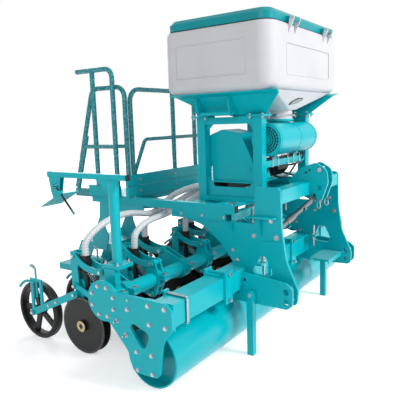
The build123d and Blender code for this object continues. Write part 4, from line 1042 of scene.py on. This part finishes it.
GRILLE_RADII = (84, 70, 54, 38, 24)
CABLES = (
    [
        (150, -130, 1000), (190, -200, 980), (120, -250, 960), (20, -240, 930), (-60, -220, 905),
        (-120, -180, 897),
    ],
    [(180, -110, 1051), (250, -150, 1040), (262, -230, 1090), (240, -238, 1150), (200, -232, 1158)],
    [
        (-60, -150, 1010), (-120, -225, 990), (-60, -262, 1010), (30, -258, 1050), (120, -244, 1082),
        (230, -226, 1070),
    ],
    [(-280, -208, 1122), (-100, -214, 1126), (100, -210, 1122), (280, -214, 1124)],
    [(-275, -196, 1126), (-80, -190, 1122), (120, -196, 1126), (275, -192, 1122)],
)
TIE_XS = (-200, -120, 20, 110, 210)
TIE_HALF = 4
TIE_SIDES = (
    # front, rear, bottom and top of each strip round the cables
    (-224, -221, 1074, 1134), (-224, -178, 1072, 1075), (-180, -177, 1074, 1134), (-224, -178, 1132, 1135),
)


class SEEDER_OT_fan_trim(bpy.types.Operator):
    """Fan grille and bands, painted shade behind the grille, motor fins, cables and ties"""
    bl_idname = "seeder.fan_trim"
    bl_label = "Fan trim"

    def execute(self, context):
        near = (-1, 0, 0)
        grille = Maker()
        centre = at(-285, FAN_Y, FAN_Z)
        for radius in GRILLE_RADII:
            grille.band(centre, near, (radius - 2.2, radius + 2.2), (0, 3), 48)
        shift = Vector((-0.0015, 0, 0))
        for dy, dz in circle(24, 1.0):
            arm = Vector((0, dy, dz))
            grille.tube([centre + arm * 0.022 + shift, centre + arm * 0.085 + shift], 1.6, 6)
        grille.piece("fan_grille", "frame_paint")
        # Painted shade: a thin black disc behind the grille stands for the shaded inside of the fan's inlet
        inlet_shade = Maker()
        inlet_shade.lathe(at(-275, FAN_Y, FAN_Z), near, [(0, 83), (1.5, 83)], 32)
        inlet_shade.piece("fan_inlet_shade", "motor_black")
        seams = Maker()
        for x in (-262, 262, 20):
            seams.band(at(x, FAN_Y, FAN_Z), ACROSS, (99.6, 102), (-4, 4), 48)
        seams.piece("fan_bands", "frame_paint")
        fins = Maker()
        for k in range(12):
            fins.band(at(-60 + k * 16, -110, 1051), ACROSS, (54.5, 60), (-2, 2), 32)
        fins.piece("motor_fins", "motor_black")
        cables = Maker()
        for route in CABLES:
            cables.tube(spline_points([at(*p) for p in route], 0.012), 6.5, 8)
        cables.piece("fan_cables", "cable_black")
        ties = Maker()
        for x in TIE_XS:
            for front, rear, bottom, top in TIE_SIDES:
                ties.block((x - TIE_HALF, front, bottom), (x + TIE_HALF, rear, top))
        ties.piece("cable_ties", "tie_white")
        return {"FINISHED"}


class SEEDER_OT_frame_trim(bpy.types.Operator):
    """Painted shade at the open tube ends, roller bands, weld beads, rings, bent bolts and rods of the frame
    """
    bl_idname = "seeder.frame_trim"
    bl_label = "Frame trim"

    def execute(self, context):
        # Painted shade: black blocks on the square tube ends stand for the dark inside of their open ends
        caps = Maker()
        for side in SIDES:
            low, high = side * RAIL_X - 21, side * RAIL_X + 21
            for front, rear, bottom in ((1088, 1095, 819), (356, 363, 769), (-116, -110, 819)):
                caps.block((low, front, bottom), (high, rear, bottom + 42), 2.0)
        for front, rear in ((166, 171), (789, 794)):
            caps.block((MARKER_X - 16, front, 1074), (MARKER_X + 16, rear, 1106), 1.0)
        caps.piece("tube_end_shades", "sleeve_black")
        seams = Maker()
        profile = [(-6, 161.8), (-5, 163.2), (5, 163.2), (6, 161.8)]
        for side in SIDES:
            seams.lathe(at(side * 1166, 0, ROLLER_Z), ACROSS, profile, 72, loop=True)
        seams.piece("roller_bands", "roller_paint", "roller")
        welds = Maker()
        (y0, y1), (z0, z1) = BEAM_Y, BEAM_Z
        for side in SIDES:
            for face in (side * TOWER_IN, side * TOWER_OUT):
                welds.bars([(face, y0, z0), (face, y0, z1), (face, y1, z1), (face, y1, z0)], 4.0, 6)
            face = side * TOWER_IN
            welds.bars([(face, -405, 890), (face, -405, 970), (face, -325, 970), (face, -325, 890)], 3.5, 6)
        welds.piece("weld_beads", "frame_paint")
        pins = Maker()
        for side in SIDES:
            ring = [(0, -478, 848), (6, -486, 818), (3, -470, 802), (0, -456, 822), (0, -462, 846)]
            points = [at(side * 66 + side * dx, y, z) for dx, y, z in ring]
            pins.tube(spline_points(points, 0.008), 2.5, 6)
        pins.piece("hitch_rings", "zinc")
        # Plated bolts bent round the front beam, over the CAD ones
        bent = Maker()
        line = [
            (-60, 511), (-187, 511), (-193, 509), (-195, 503), (-195, 383), (-193, 377), (-187, 375),
            (-60, 375),
        ]
        for side in SIDES:
            bent.tube([at(side * BENT_BOLT_X, y, z) for y, z in line], 8.5, 12)
        bent.piece("beam_bolts", "zinc")
        # Clamp plate with two studs on the platform frame's front tube
        saddle = Maker()
        for side in SIDES:
            low, high = sorted((side * 160, side * 270))
            saddle.block((low, -92, 815.3), (high, -50, 819), 6.0)
            for x in (side * 180, side * 250):
                saddle.bolt(at(x, -71, 819), UP, 9.0, washer=False)
                saddle.tube([at(x, -101, 819), at(x, -101, 716)], 4.5, 8)
        saddle.piece("tube_saddles", "zinc")
        # Threaded rods on brackets inside the towers
        rods = Maker()
        brackets = Maker()
        for side in SIDES:
            x = side * 402
            rods.tube([at(x, -253, 436), at(x, -253, 590)], 8.0, 12)
            for z in (526, 498):
                rods.lathe(at(x, -253, z), UP, [(-6, 15), (6, 15)], 6)
            low, high = sorted((side * TOWER_IN, side * 384))
            brackets.block((low, -274, 506), (high, -232, 518), 4.0)
        rods.piece("tower_rods", "zinc")
        brackets.piece("rod_brackets", "frame_paint")
        lever = Maker()
        lever.lathe(at(LEVER_X, 675, 1032), UP, [(-17, 4), (-12, 13), (0, 18), (12, 13), (17, 4)], 20)
        lever.tube([at(LEVER_X, 671, 1030), at(LEVER_X, 529, 880)], 6.6, 10)
        lever.piece("lever_black", "sleeve_black")
        return {"FINISHED"}


class SEEDER_PT_panel(bpy.types.Panel):
    """Lists the pieces and their settings"""
    bl_idname = "SEEDER_PT_panel"
    bl_label = "Seed drill"
    bl_space_type = "VIEW_3D"
    bl_region_type = "UI"
    bl_category = "Seed drill"

    def draw(self, context):
        layout = self.layout
        for settings in (context.scene.seeder_paint, context.scene.seeder_sizes):
            box = layout.box()
            for key in settings.__annotations__:
                box.prop(settings, key)
        for operator in OPERATORS:
            layout.operator(operator.bl_idname)


OPERATORS = (
    SEEDER_OT_finishes,
    SEEDER_OT_stage,
    SEEDER_OT_hoses,
    SEEDER_OT_frame_bolts,
    SEEDER_OT_row_bolts,
    SEEDER_OT_discs,
    SEEDER_OT_wheels,
    SEEDER_OT_row_trim,
    SEEDER_OT_hopper_trim,
    SEEDER_OT_fan_trim,
    SEEDER_OT_frame_trim,
)
CLASSES = (SeederPaint, SeederSizes, *OPERATORS, SEEDER_PT_panel)


def register():
    for item in CLASSES:
        bpy.utils.register_class(item)
    bpy.types.Scene.seeder_paint = PointerProperty(type=SeederPaint)
    bpy.types.Scene.seeder_sizes = PointerProperty(type=SeederSizes)


def unregister():
    del bpy.types.Scene.seeder_sizes
    del bpy.types.Scene.seeder_paint
    for item in reversed(CLASSES):
        bpy.utils.unregister_class(item)


def main():
    register()
    bpy.ops.seeder.finishes()
    bpy.ops.seeder.stage()
    bpy.ops.seeder.hoses()
    bpy.ops.seeder.frame_bolts()
    bpy.ops.seeder.row_bolts()
    bpy.ops.seeder.discs()
    bpy.ops.seeder.wheels()
    bpy.ops.seeder.row_trim()
    bpy.ops.seeder.hopper_trim()
    bpy.ops.seeder.fan_trim()
    bpy.ops.seeder.frame_trim()


if __name__ == "__main__":
    main()
